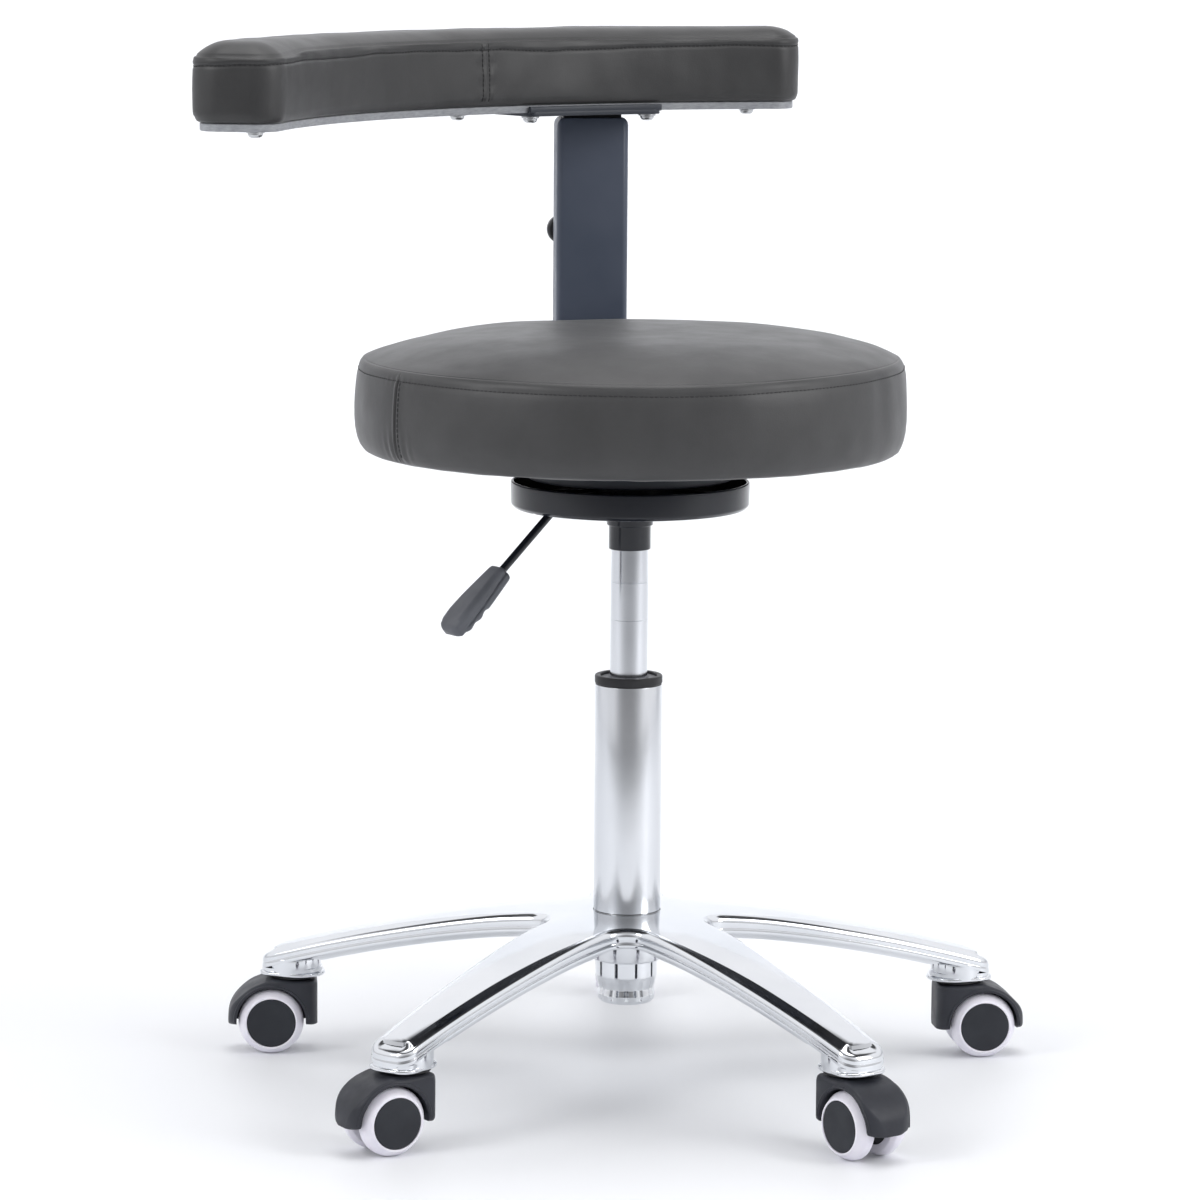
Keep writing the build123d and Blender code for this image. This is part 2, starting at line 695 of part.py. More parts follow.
def wheel_tyre(arm, swing, side):
    """The soft tread of one wheel."""
    plane = wheel_plane(arm, swing, side)
    with BuildPart() as tyre:
        with BuildSketch(plane):
            with BuildLine():
                Line((wheel_inner_face, cap_radius), (wheel_inner_face, wheel_radius - 3))
                RadiusArc((wheel_inner_face, wheel_radius - 3), (wheel_inner_face + 3, wheel_radius), 3)
                Line((wheel_inner_face + 3, wheel_radius), (wheel_outer_face - 5, wheel_radius))
                RadiusArc((wheel_outer_face - 5, wheel_radius), (wheel_outer_face, wheel_radius - 5), 5)
                Line((wheel_outer_face, wheel_radius - 5), (wheel_outer_face, cap_radius))
                Line((wheel_outer_face, cap_radius), (wheel_inner_face, cap_radius))
            make_face()
        revolve(axis=Axis(plane.origin, plane.x_dir))
    return tyre.part


def wheel_hub(arm, swing, side):
    """The wheel's body and outer cap."""
    plane = axle_plane(arm, swing, side)
    with BuildPart() as hub:
        with BuildSketch(plane.offset(wheel_inner_face)):
            Circle(cap_radius)
        extrude(amount=wheel_outer_face - 0.6 - wheel_inner_face)
        with BuildSketch(plane):
            Circle(axle_radius + running)
        extrude(amount=wheel_outer_face - 3 + 0.3, mode=Mode.SUBTRACT)
    return hub.part


for number, (arm, swing) in enumerate(zip(arm_angles, trail_angles), start=1):
    write(f"caster_{number}_hood", caster_hood(arm, swing))
    write(f"caster_{number}_pins", caster_pins(arm, swing))
    for label, side in (("left", 1), ("right", -1)):
        write(f"caster_{number}_tyre_{label}", wheel_tyre(arm, swing, side))
        write(f"caster_{number}_hub_{label}", wheel_hub(arm, swing, side))
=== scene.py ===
import json
import math

import bmesh
import bpy
from mathutils import Euler, Matrix, Vector, noise


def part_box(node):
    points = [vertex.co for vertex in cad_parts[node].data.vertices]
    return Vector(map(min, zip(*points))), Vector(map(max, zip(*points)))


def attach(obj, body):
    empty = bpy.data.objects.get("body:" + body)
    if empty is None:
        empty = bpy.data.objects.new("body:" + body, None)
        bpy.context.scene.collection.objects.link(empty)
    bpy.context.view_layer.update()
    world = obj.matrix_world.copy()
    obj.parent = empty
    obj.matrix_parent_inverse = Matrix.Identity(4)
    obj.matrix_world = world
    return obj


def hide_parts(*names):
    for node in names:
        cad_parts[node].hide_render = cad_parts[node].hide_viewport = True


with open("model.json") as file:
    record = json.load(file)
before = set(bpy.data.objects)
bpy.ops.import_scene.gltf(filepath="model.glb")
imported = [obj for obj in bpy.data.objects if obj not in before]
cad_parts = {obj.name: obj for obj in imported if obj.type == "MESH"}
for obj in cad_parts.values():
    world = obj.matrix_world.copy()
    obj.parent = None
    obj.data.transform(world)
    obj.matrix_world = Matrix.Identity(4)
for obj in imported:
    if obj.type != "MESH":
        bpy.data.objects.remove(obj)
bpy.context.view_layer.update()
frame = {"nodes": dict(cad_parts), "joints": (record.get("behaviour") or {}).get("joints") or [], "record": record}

MM = 0.001
UP = Vector((0, 0, 1))

# ---- places and sizes, read from the frame, in millimetres ----------------------------


def box_mm(node):
    """Lowest and highest corner of a CAD node, in millimetres."""
    low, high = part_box(node)
    return Vector(low) / MM, Vector(high) / MM


def joint(name):
    """A joint of the CAD model, by name."""
    return next(j for j in frame["joints"] if j["name"] == name)


def joint_place(name):
    """A joint's point, in millimetres."""
    return Vector(joint(name)["pos_m"]) / MM


def polar(radius, degrees, height=0.0):
    """A point from its distance and bearing about the z axis."""
    angle = math.radians(degrees)
    return Vector((radius * math.cos(angle), radius * math.sin(angle), height))


seat_low, seat_high = box_mm("seat_cushion")
column_high = box_mm("outer_column")[1]
pan_low, pan_high = box_mm("seat_pan")
star_low, star_high = box_mm("star_base")
cup_low, cup_high = box_mm("bottom_cup")
pad_low, pad_high = box_mm("arm_pad")
board_low, board_high = box_mm("pad_board")
post_high = box_mm("arm_post")[1]

# ---- camera ---------------------------------------------------------------------------
camera_place = Vector((-0.0218, -3.6709, 0.9084))
camera_pitch = 8.438
camera_roll = 0.417
camera_lens = 149.4


def make_camera():
    """The camera, at the picture's own height, pitch and roll."""
    data = bpy.data.cameras.new("camera")
    data.lens = camera_lens
    data.sensor_width = 36.0
    data.clip_start, data.clip_end = 0.1, 60.0
    camera = bpy.data.objects.new("camera", data)
    bpy.context.scene.collection.objects.link(camera)
    tilt = Euler((math.radians(90 - camera_pitch), 0, 0)).to_matrix().to_4x4()
    roll = Matrix.Rotation(math.radians(camera_roll), 4, "Z")
    camera.matrix_world = Matrix.Translation(camera_place) @ tilt @ roll
    bpy.context.scene.camera = camera


make_camera()
bpy.context.scene.view_settings.view_transform = "Standard"

# ---- material building ----------------------------------------------------------------


class Shader:
    """A node material being built, with short calls for the nodes it needs."""

    def __init__(self, name, color, roughness, metallic=0.0):
        self.material = bpy.data.materials.new(name)
        self.material.use_nodes = True
        self.tree = self.material.node_tree
        self.bsdf = self.tree.nodes["Principled BSDF"]
        self.bsdf.inputs["Base Color"].default_value = (*color, 1)
        self.bsdf.inputs["Roughness"].default_value = roughness
        self.bsdf.inputs["Metallic"].default_value = metallic
        self.place = self.tree.nodes.new("ShaderNodeTexCoord").outputs["Object"]

    def link(self, source, target):
        self.tree.links.new(source, target)

    def set(self, **values):
        """Set sockets of the shader, with underscores for the spaces in their names."""
        for key, value in values.items():
            self.bsdf.inputs[key.replace("_", " ")].default_value = value

    def feed_place(self, field, size_mm, stretch):
        """Give a texture node the object's own places, scaled so that one unit is size_mm."""
        scale = self.tree.nodes.new("ShaderNodeMapping")
        scale.inputs["Scale"].default_value = [s / (size_mm * MM) for s in stretch]
        self.link(self.place, scale.inputs["Vector"])
        self.link(scale.outputs["Vector"], field.inputs["Vector"])

    def noise(self, size_mm, detail=4.0, rough=0.55, stretch=(1, 1, 1), distortion=0.0):
        """A noise field whose features are about size_mm across."""
        field = self.tree.nodes.new("ShaderNodeTexNoise")
        field.inputs["Scale"].default_value = 1.0
        field.inputs["Detail"].default_value = detail
        field.inputs["Roughness"].default_value = rough
        field.inputs["Distortion"].default_value = distortion
        self.feed_place(field, size_mm, stretch)
        return field.outputs["Fac"]

    def cells(self, size_mm):
        """Distance to the nearest cell point, cells about size_mm across."""
        field = self.tree.nodes.new("ShaderNodeTexVoronoi")
        field.inputs["Scale"].default_value = 1.0
        self.feed_place(field, size_mm, (1, 1, 1))
        return field.outputs["Distance"]

    def remap(self, source, low, high, out_low, out_high):
        """A field stretched from one range to another."""
        node = self.tree.nodes.new("ShaderNodeMapRange")
        node.inputs["From Min"].default_value = low
        node.inputs["From Max"].default_value = high
        node.inputs["To Min"].default_value = out_low
        node.inputs["To Max"].default_value = out_high
        self.link(source, node.inputs["Value"])
        return node.outputs["Result"]

    def combine(self, first, second, share):
        """A mix of two fields."""
        node = self.tree.nodes.new("ShaderNodeMix")
        node.inputs["Factor"].default_value = share
        self.link(first, node.inputs["A"])
        self.link(second, node.inputs["B"])
        return node.outputs["Result"]

    def color_between(self, source, low_color, high_color, low=0.35, high=0.65):
        """Drive the base colour by a field, between two colours."""
        ramp = self.tree.nodes.new("ShaderNodeValToRGB")
        ramp.color_ramp.elements[0].position = low
        ramp.color_ramp.elements[0].color = (*low_color, 1)
        ramp.color_ramp.elements[1].position = high
        ramp.color_ramp.elements[1].color = (*high_color, 1)
        self.link(source, ramp.inputs["Fac"])
        self.link(ramp.outputs["Color"], self.bsdf.inputs["Base Color"])

    def roughness_between(self, source, low, high, start=0.3, stop=0.7):
        """Drive the roughness by a field, between two values."""
        self.link(self.remap(source, start, stop, low, high), self.bsdf.inputs["Roughness"])

    def bump(self, source, depth_mm, strength=1.0):
        """Raise the surface by a field, on top of any bump already there."""
        node = self.tree.nodes.new("ShaderNodeBump")
        node.inputs["Strength"].default_value = strength
        node.inputs["Distance"].default_value = depth_mm * MM
        self.link(source, node.inputs["Height"])
        last = self.bsdf.inputs["Normal"]
        if last.is_linked:
            self.link(last.links[0].from_socket, node.inputs["Normal"])
        self.link(node.outputs["Normal"], last)


def leather(name, tone):
    """Grained leather. tone scales its colour: below 1 it gives a darker copy of the same leather, which is
    painted shade.
    """
    s = Shader(name, (0.048 * tone, 0.048 * tone, 0.049 * tone), 0.40)
    s.set(Sheen_Weight=0.06, Sheen_Roughness=0.4, Specular_IOR_Level=0.42)
    s.color_between(s.noise(60, 5, 0.6), (0.042 * tone, 0.042 * tone, 0.043 * tone),
                    (0.053 * tone, 0.053 * tone, 0.054 * tone))
    s.roughness_between(s.noise(25, 4), 0.39, 0.47)
    s.bump(s.noise(18, 3), 0.5, 0.35)
    s.bump(s.combine(s.cells(1.1), s.noise(0.7, 2), 0.35), 0.09, 0.55)
    return s.material


def thread():
    """Twisted sewing thread, darker between its strands."""
    s = Shader("thread", (0.02, 0.02, 0.021), 0.65)
    s.color_between(s.noise(1.2), (0.012, 0.012, 0.013), (0.034, 0.034, 0.036))
    s.bump(s.noise(0.3, 2, stretch=(1, 1, 3)), 0.05, 0.5)
    return s.material


def polished_aluminium():
    """The star's polish, over the slight waves of a casting."""
    s = Shader("polished_aluminium", (0.78, 0.80, 0.83), 0.14, 1.0)
    s.roughness_between(s.noise(45, 5), 0.06, 0.12)
    s.color_between(s.noise(90, 3), (0.68, 0.70, 0.73), (0.75, 0.765, 0.79))
    s.bump(s.noise(16, 2), 0.12, 0.2)
    s.bump(s.noise(0.6, 3, stretch=(1, 1, 0.2)), 0.004, 0.25)
    return s.material


def chrome():
    """Mirror chrome."""
    s = Shader("chrome", (0.80, 0.815, 0.84), 0.06, 1.0)
    s.roughness_between(s.noise(30, 5), 0.03, 0.10)
    s.color_between(s.noise(70, 3), (0.71, 0.73, 0.76), (0.79, 0.805, 0.83))
    s.bump(s.noise(0.5, 2), 0.003, 0.2)
    return s.material


def satin_chrome():
    """The tubes' duller chrome, finely ground along their length."""
    s = Shader("satin_chrome", (0.74, 0.755, 0.78), 0.2, 1.0)
    s.roughness_between(s.noise(30, 5), 0.16, 0.24)
    s.color_between(s.noise(60, 3, stretch=(1, 1, 0.1)), (0.69, 0.71, 0.745), (0.77, 0.785, 0.81))
    s.bump(s.noise(0.5, 2, stretch=(1, 1, 0.1)), 0.003, 0.2)
    return s.material


def brushed_steel():
    """Turned steel, with fine marks round it."""
    s = Shader("brushed_steel", (0.56, 0.57, 0.58), 0.28, 1.0)
    s.color_between(s.noise(4, 4, stretch=(0.1, 0.1, 4)), (0.50, 0.51, 0.52), (0.62, 0.63, 0.64))
    s.roughness_between(s.noise(2, 4, stretch=(0.1, 0.1, 5)), 0.2, 0.38)
    s.bump(s.noise(0.5, 2, stretch=(0.1, 0.1, 5)), 0.01, 0.4)
    return s.material


def painted(name, color, lighter, gloss, coat=0.12):
    """Powder-coated or enamelled metal, with orange peel."""
    s = Shader(name, color, gloss)
    s.set(Coat_Weight=coat, Coat_Roughness=0.15, Specular_IOR_Level=0.3)
    s.color_between(s.noise(80, 4), color, lighter)
    s.roughness_between(s.noise(20, 4), gloss * 0.85, gloss * 1.2)
    s.bump(s.noise(1.4, 2), 0.02, 0.35)
    return s.material


def plastic(name, color, lighter, gloss, grain=0.6, depth=0.02):
    """Moulded plastic with a fine spark-eroded texture."""
    s = Shader(name, color, gloss)
    s.set(Specular_IOR_Level=0.3)
    s.color_between(s.noise(30, 4), color, lighter)
    s.roughness_between(s.noise(12, 4), gloss * 0.85, gloss * 1.2)
    s.bump(s.noise(grain, 3), depth, 0.5)
    return s.material


def tread():
    """Soft white tread, which lets a little light in."""
    s = Shader("white_tread", (0.84, 0.82, 0.90), 0.38)
    s.set(Subsurface_Weight=0.15, Subsurface_Scale=0.004, Subsurface_Radius=(1.0, 0.9, 1.0))
    s.color_between(s.noise(14, 4), (0.81, 0.79, 0.88), (0.88, 0.86, 0.93))
    s.roughness_between(s.noise(8, 3), 0.32, 0.46)
    s.bump(s.noise(0.8, 2), 0.015, 0.4)
    return s.material


def woven_cloth():
    """Non-woven black lining cloth."""
    s = Shader("dust_cloth", (0.018, 0.018, 0.02), 0.9)
    s.color_between(s.cells(1.3), (0.010, 0.010, 0.012), (0.034, 0.034, 0.037), 0.1, 0.6)
    s.bump(s.combine(s.cells(1.3), s.noise(5, 4), 0.5), 0.2, 0.7)
    return s.material


def plywood():
    """Sanded plywood, with its grain along y."""
    s = Shader("plywood", (0.52, 0.40, 0.26), 0.6)
    s.color_between(s.noise(9, 6, 0.6, (1, 0.08, 1), 0.8), (0.42, 0.30, 0.18), (0.60, 0.47, 0.31))
    s.bump(s.noise(2, 4, stretch=(1, 0.1, 1)), 0.08, 0.5)
    return s.material


def laminate():
    """The mottled grey board under the pad."""
    s = Shader("grey_board", (0.30, 0.31, 0.33), 0.5)
    s.color_between(s.noise(6, 6, 0.65, (1, 1, 4)), (0.25, 0.26, 0.28), (0.37, 0.38, 0.40))
    s.roughness_between(s.noise(10, 4), 0.42, 0.6)
    s.bump(s.noise(0.9, 3), 0.04, 0.5)
    return s.material


LOOKS = {
    "seat_leather": leather("seat_leather", 1.0),
    # the pad's leather is the seat's leather made darker: painted shade
    "shaded_pad_leather": leather("shaded_pad_leather", 0.74),
    "thread": thread(),
    "cast_aluminium": polished_aluminium(),
    "chrome_plate": chrome(),
    "satin_chrome": satin_chrome(),
    "steel": brushed_steel(),
    "black_plastic": plastic("black_plastic", (0.018, 0.018, 0.02), (0.03, 0.03, 0.033), 0.42),
    "grey_plastic": plastic("grey_plastic", (0.30, 0.30, 0.32), (0.38, 0.38, 0.40), 0.5),
    "black_gloss_paint": painted("black_gloss_paint", (0.006, 0.0075, 0.012), (0.010, 0.012, 0.018), 0.2,
                                 0.3),
    "blue_grey_paint": painted("blue_grey_paint", (0.073, 0.089, 0.125), (0.088, 0.104, 0.143), 0.42),
    # a darker copy of the blue-grey paint: painted shade for the flange under the pad and the plate in the gap
    # under the seat
    "dark_grey_paint": painted("dark_grey_paint", (0.027, 0.032, 0.043), (0.034, 0.039, 0.051), 0.42),
    "plywood": plywood(),
    "board_laminate": laminate(),
    "dust_cloth": woven_cloth(),
    "handle_plastic": plastic("handle_plastic", (0.088, 0.093, 0.107), (0.118, 0.124, 0.140), 0.42, 0.8),
    "hood_plastic": plastic("hood_plastic", (0.023, 0.025, 0.032), (0.032, 0.034, 0.043), 0.44, 0.7, 0.03),
    "hub_plastic": plastic("hub_plastic", (0.020, 0.022, 0.028), (0.027, 0.030, 0.037), 0.5),
    "white_tread": tread(),
}

for entry in frame["record"]["subparts"]:
    node = frame["nodes"][entry["node"]]
    node.data.materials.clear()
    node.data.materials.append(LOOKS[entry["material_slot"]])

# ---- mesh building --------------------------------------------------------------------


def add_piece(name, vertices, faces, look, body, replaced=(), sharp=40.0, slot=None):
    """Make a mesh piece from points in millimetres, and hide the CAD parts that it replaces."""
    mesh = bpy.data.meshes.new(name)
    mesh.from_pydata([tuple(Vector(v) * MM) for v in vertices], [], faces)
    shell = bmesh.new()
    shell.from_mesh(mesh)
    bmesh.ops.remove_doubles(shell, verts=shell.verts, dist=0.002 * MM)
    bmesh.ops.dissolve_degenerate(shell, edges=shell.edges, dist=0.001 * MM)
    bmesh.ops.recalc_face_normals(shell, faces=shell.faces)
    shell.to_mesh(mesh)
    shell.free()
    mesh.shade_smooth()
    mesh.set_sharp_from_angle(angle=math.radians(sharp))
    piece = bpy.data.objects.new(name, mesh)
    bpy.context.scene.collection.objects.link(piece)
    mesh.materials.append(LOOKS[look])
    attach(piece, body)
    if replaced:
        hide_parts(*replaced)
    return piece


def grid_faces(rows, columns, wrap_rows=False, wrap_columns=True):
    """Quads over a grid of points stored row by row."""
    faces = []
    for i in range(rows if wrap_rows else rows - 1):
        here, below = i * columns, (i + 1) % rows * columns
        for j in range(columns if wrap_columns else columns - 1):
            n = (j + 1) % columns
            faces.append([here + j, here + n, below + n, below + j])
    return faces


def capped_faces(rows, columns):
    """Quads over a closed tube of points stored ring by ring, with a face on both ends."""
    ends = [list(range(columns)), list(range((rows - 1) * columns, rows * columns))]
    return grid_faces(rows, columns) + ends


def ring_faces(rings):
    """Faces between rings of point numbers; a ring that repeats one number is a single point."""
    faces = []
    for low, high in zip(rings, rings[1:]):
        for k in range(len(low)):
            n = (k + 1) % len(low)
            face = list(dict.fromkeys((low[k], low[n], high[n], high[k])))
            if len(face) > 2:
                faces.append(face)
    return faces


def inward_of(outline):
    """Inward directions at the points of an anticlockwise closed outline."""
    count = len(outline)
    out = []
    for i in range(count):
        along = (outline[(i + 1) % count] - outline[i - 1]).normalized()
        out.append(Vector((-along.y, along.x)))
    return out


def rounded(points, radius, steps=5, closed=False):
    """A 2-D outline whose corners are rounded. radius is one number, or one for each point."""
    points = [Vector(p) for p in points]
    radii = radius if isinstance(radius, (list, tuple)) else [radius] * len(points)
    out = []
    count = len(points)
    for i, corner in enumerate(points):
        r = radii[i]
        if r <= 0 or (not closed and i in (0, count - 1)):
            out.append(corner)
            continue
        before = (points[i - 1] - corner).normalized()
        after = (points[(i + 1) % count] - corner).normalized()
        half = before.angle(after) / 2
        if half > math.radians(89):
            out.append(corner)
            continue
        reach = r / math.tan(half)
        centre = corner + (before + after).normalized() * (r / math.sin(half))
        first, last = corner + before * reach - centre, corner + after * reach - centre
        turn = first.angle_signed(last)
        for k in range(steps + 1):
            angle = -turn * k / steps
            out.append(centre + Vector((first.x * math.cos(angle) - first.y * math.sin(angle),
                                        first.x * math.sin(angle) + first.y * math.cos(angle))))
    return out


def spread(points, step, closed=False):
    """An outline cut into stretches no longer than a step."""
    out = []
    count = len(points)
    for i in range(count if closed else count - 1):
        a, b = points[i], points[(i + 1) % count]
        pieces = max(1, math.ceil((b - a).length / step))
        out += [a.lerp(b, k / pieces) for k in range(pieces)]
    return out if closed else out + [points[-1]]


def run_lengths(points):
    """The distance along a path at each of its points."""
    lengths = [0.0]
    for a, b in zip(points, points[1:]):
        lengths.append(lengths[-1] + (b - a).length)
    return lengths


def lathe(profile, segments, place=Matrix.Identity(4), radius_at=None):
    """Points and faces of a profile of (radius, height) turned about place's z axis."""
    vertices, rings = [], []
    for radius, height in profile:
        if radius < 0.005:
            rings.append([len(vertices)] * segments)
            vertices.append(place @ Vector((0, 0, height)))
            continue
        rings.append(list(range(len(vertices), len(vertices) + segments)))
        for k in range(segments):
            angle = 2 * math.pi * k / segments
            r = radius_at(radius, height, angle) if radius_at else radius
            vertices.append(place @ Vector((r * math.cos(angle), r * math.sin(angle), height)))
    return vertices, ring_faces(rings)


def joined(*shells):
    """Several (points, faces) shells as one."""
    vertices, faces = [], []
    for points, quads in shells:
        start = len(vertices)
        vertices += points
        faces += [[start + k for k in quad] for quad in quads]
    return vertices, faces


def prism(outline, levels, place=Matrix.Identity(4)):
    """A closed body from a 2-D outline: levels are (inset, height) from one end to the other."""
    area = sum(outline[i - 1].cross(outline[i]) for i in range(len(outline)))
    sign = 1 if area > 0 else -1
    vertices = []
    for inset, height in levels:
        for point, normal in zip(outline, inward_of(outline)):
            flat = point + normal * inset * sign
            vertices.append(place @ Vector((flat.x, flat.y, height)))
    return vertices, capped_faces(len(levels), len(outline))


def tube(path, radius, sides=12):
    """A round bar along a path, with closed ends."""
    vertices = []
    count = len(path)
    normal = None
    for i, point in enumerate(path):
        along = (path[min(i + 1, count - 1)] - path[max(i - 1, 0)]).normalized()
        if normal is None:
            normal = along.orthogonal().normalized()
        normal = (normal - along * normal.dot(along)).normalized()
        across = along.cross(normal)
        for k in range(sides):
            angle = 2 * math.pi * k / sides
            vertices.append(point + (normal * math.cos(angle) + across * math.sin(angle)) * radius)
    return vertices, capped_faces(count, sides)


def edge_levels(low, high, radius, steps=4):
    """Levels for a prism with rounded rims."""
    turn = [math.pi / 2 * k / steps for k in range(steps + 1)]
    foot = [(radius * (1 - math.sin(t)), low + radius * (1 - math.cos(t))) for t in turn]
    head = [(radius * (1 - math.cos(t)), high - radius * (1 - math.sin(t))) for t in turn]
    return foot + head


def rectangle(width, depth, radius, steps=6, centre=(0, 0)):
    """A rounded rectangle as an outline."""
    w, d = width / 2, depth / 2
    x, y = centre
    corners = [(x - w, y - d), (x + w, y - d), (x + w, y + d), (x - w, y + d)]
    return rounded(corners, radius, steps, closed=True)


def frame_at(origin, x_axis, z_axis):
    """A matrix that stands at an origin with the given x and z directions."""
    z = Vector(z_axis).normalized()
    x = Vector(x_axis).normalized()
    y = z.cross(x)
    place = Matrix((x, y, z)).transposed().to_4x4()
    place.translation = Vector(origin)
    return place


def smooth(value, low, high):
    """0 below low, 1 above high, with a soft start and stop."""
    t = min(1.0, max(0.0, (value - low) / (high - low)))
    return t * t * (3 - 2 * t)

# ---- studio ---------------------------------------------------------------------------
paper_half_width = 9.0
paper_bend_start, paper_bend_radius = 3.0, 1.5
paper_top = 2.4


def shade_reflections(tree, color, shade):
    """A colour times a shade that only reflections and bounced light see, not the camera."""
    seen = tree.nodes.new("ShaderNodeLightPath").outputs["Is Camera Ray"]
    share = tree.nodes.new("ShaderNodeMath")
    share.operation = "MAXIMUM"
    tree.links.new(shade, share.inputs[0])
    tree.links.new(seen, share.inputs[1])
    shaded = tree.nodes.new("ShaderNodeVectorMath")
    shaded.operation = "MULTIPLY"
    tree.links.new(color, shaded.inputs[0])
    tree.links.new(share.outputs[0], shaded.inputs[1])
    return shaded.outputs["Vector"]


def soften_front(s):
    """The paper near the camera is in shade, which the camera does not see."""
    split = s.tree.nodes.new("ShaderNodeSeparateXYZ")
    s.link(s.place, split.inputs[0])
    shade = s.remap(split.outputs["Y"], -2.2, -0.9, 0.38, 1.0)
    color = s.bsdf.inputs["Base Color"].links[0].from_socket
    s.link(shade_reflections(s.tree, color, shade), s.bsdf.inputs["Base Color"])


def clear_from_behind(s):
    """The paper can be seen through from behind, so the object also shows from the back."""
    behind = s.tree.nodes.new("ShaderNodeNewGeometry").outputs["Backfacing"]
    mix = s.tree.nodes.new("ShaderNodeMixShader")
    s.link(behind, mix.inputs[0])
    s.link(s.bsdf.outputs[0], mix.inputs[1])
    s.link(s.tree.nodes.new("ShaderNodeBsdfTransparent").outputs[0], mix.inputs[2])
    s.link(mix.outputs[0], s.tree.nodes["Material Output"].inputs["Surface"])


def make_stage():
    """A pale sheet of paper that lies on the floor and curves up behind the object."""
    bend = [(paper_bend_start + paper_bend_radius * math.sin(t), paper_bend_radius * (1 - math.cos(t)))
            for t in [math.pi / 2 * k / 16 for k in range(17)]]
    profile = [(-paper_half_width, 0.0)] + bend + [(paper_bend_start + paper_bend_radius, paper_top)]
    vertices = [(x, y, z) for y, z in profile for x in (-paper_half_width, paper_half_width)]
    mesh = bpy.data.meshes.new("paper")
    mesh.from_pydata(vertices, [], grid_faces(len(profile), 2, wrap_columns=False))
    mesh.shade_smooth()
    paper = bpy.data.objects.new("paper", mesh)
    bpy.context.scene.collection.objects.link(paper)
    s = Shader("paper", (0.84, 0.85, 0.87), 0.5)
    s.color_between(s.noise(700, 2), (0.83, 0.843, 0.865), (0.85, 0.86, 0.88))
    s.set(Specular_IOR_Level=0.3)
    soften_front(s)
    clear_from_behind(s)
    mesh.materials.append(s.material)


def make_light(name, place, target, size, watts):
    """A soft rectangular lamp that faces a target."""
    data = bpy.data.lights.new(name, "AREA")
    data.shape = "RECTANGLE"
    data.size, data.size_y = size
    data.energy = watts
    light = bpy.data.objects.new(name, data)
    bpy.context.scene.collection.objects.link(light)
    light.location = place
    light.rotation_euler = (Vector(target) - Vector(place)).to_track_quat("-Z", "Y").to_euler()


def make_world():
    """A pale surround by height, with a dark band high up that the chrome reflects, and a darker front."""
    world = bpy.data.worlds.new("studio")
    bpy.context.scene.world = world
    world.use_nodes = True
    tree = world.node_tree
    back = tree.nodes["Background"]
    back.inputs["Strength"].default_value = 1.13
    place = tree.nodes.new("ShaderNodeTexCoord").outputs["Generated"]
    split = tree.nodes.new("ShaderNodeSeparateXYZ")
    tree.links.new(place, split.inputs[0])
    ramp = tree.nodes.new("ShaderNodeValToRGB")
    stops = [(0.0, 0.9), (0.50, 0.9), (0.56, 0.6), (0.66, 0.95), (0.865, 1.0), (0.89, 0.08), (0.94, 0.08),
             (0.97, 1.1)]
    band = tree.nodes.new("ShaderNodeMapRange")
    band.inputs["From Min"].default_value = -1
    tree.links.new(split.outputs["Z"], band.inputs["Value"])
    tree.links.new(band.outputs["Result"], ramp.inputs["Fac"])
    while len(ramp.color_ramp.elements) < len(stops):
        ramp.color_ramp.elements.new(0.5)
    for element, (position, value) in zip(ramp.color_ramp.elements, stops):
        element.position = position
        element.color = (value, value, value * 1.02, 1)
    shade = tree.nodes.new("ShaderNodeMapRange")
    shade.interpolation_type = "SMOOTHSTEP"
    shade.inputs["From Min"].default_value = -1.0
    shade.inputs["From Max"].default_value = -0.6
    shade.inputs["To Min"].default_value = 0.35
    tree.links.new(split.outputs["Y"], shade.inputs["Value"])
    shaded = shade_reflections(tree, ramp.outputs["Color"], shade.outputs["Result"])
    tree.links.new(shaded, back.inputs["Color"])


make_stage()
make_world()
make_light("key", (-2.6, -1.6, 2.4), (0, 0, 0.4), (1.2, 1.6), 30)
make_light("fill", (2.8, -1.2, 1.8), (0, 0, 0.4), (1.2, 2.0), 34)
make_light("top", (0.2, 0.3, 3.2), (0, 0, 0.3), (2.4, 1.6), 30)
make_light("back_wash", (0, 2.0, 2.6), (0, 4.4, 1.2), (5.0, 1.0), 55)

# ---- gas column and seat mechanism ----------------------------------------------------
ROUND = 96


def turned(name, profile, look, body, replaced, sharp=35.0, segments=ROUND, radius_at=None, slot=None):
    """A lathe-turned piece on the column's axis."""
    vertices, faces = lathe(profile, segments, radius_at=radius_at)
    return add_piece(name, vertices, faces, look, body, replaced, sharp, slot)


def make_column():
    """The outer tube, with a groove just above the star."""
    foot, top = star_high.z, column_high.z
    radius = column_high.x
    outline = [(radius - 1.9, foot - 6), (radius, foot - 6), (radius, foot + 0.4), (radius - 0.5, foot + 0.7),
               (radius - 0.5, foot + 1.3), (radius, foot + 1.6), (radius, top), (radius - 2, top),
               (radius - 2, foot)]
    outline = rounded(outline, 0.25, 3)
    turned("column_tube", outline, "satin_chrome", "base", ["outer_column"], slot="chrome_plate")


def make_column_cap():
    """The cap ring on the column's mouth."""
    low, high = box_mm("column_cap")
    radius, bore = high.x, 21
    outline = [(bore, low.z - 3), (bore, high.z), (radius, high.z), (radius, low.z + 1.2),
               (radius - 0.7, low.z + 0.7), (radius - 0.7, low.z), (bore, low.z - 3)]
    turned("column_cap_ring", rounded(outline, 1.1, 5), "black_plastic", "base", ["column_cap"])


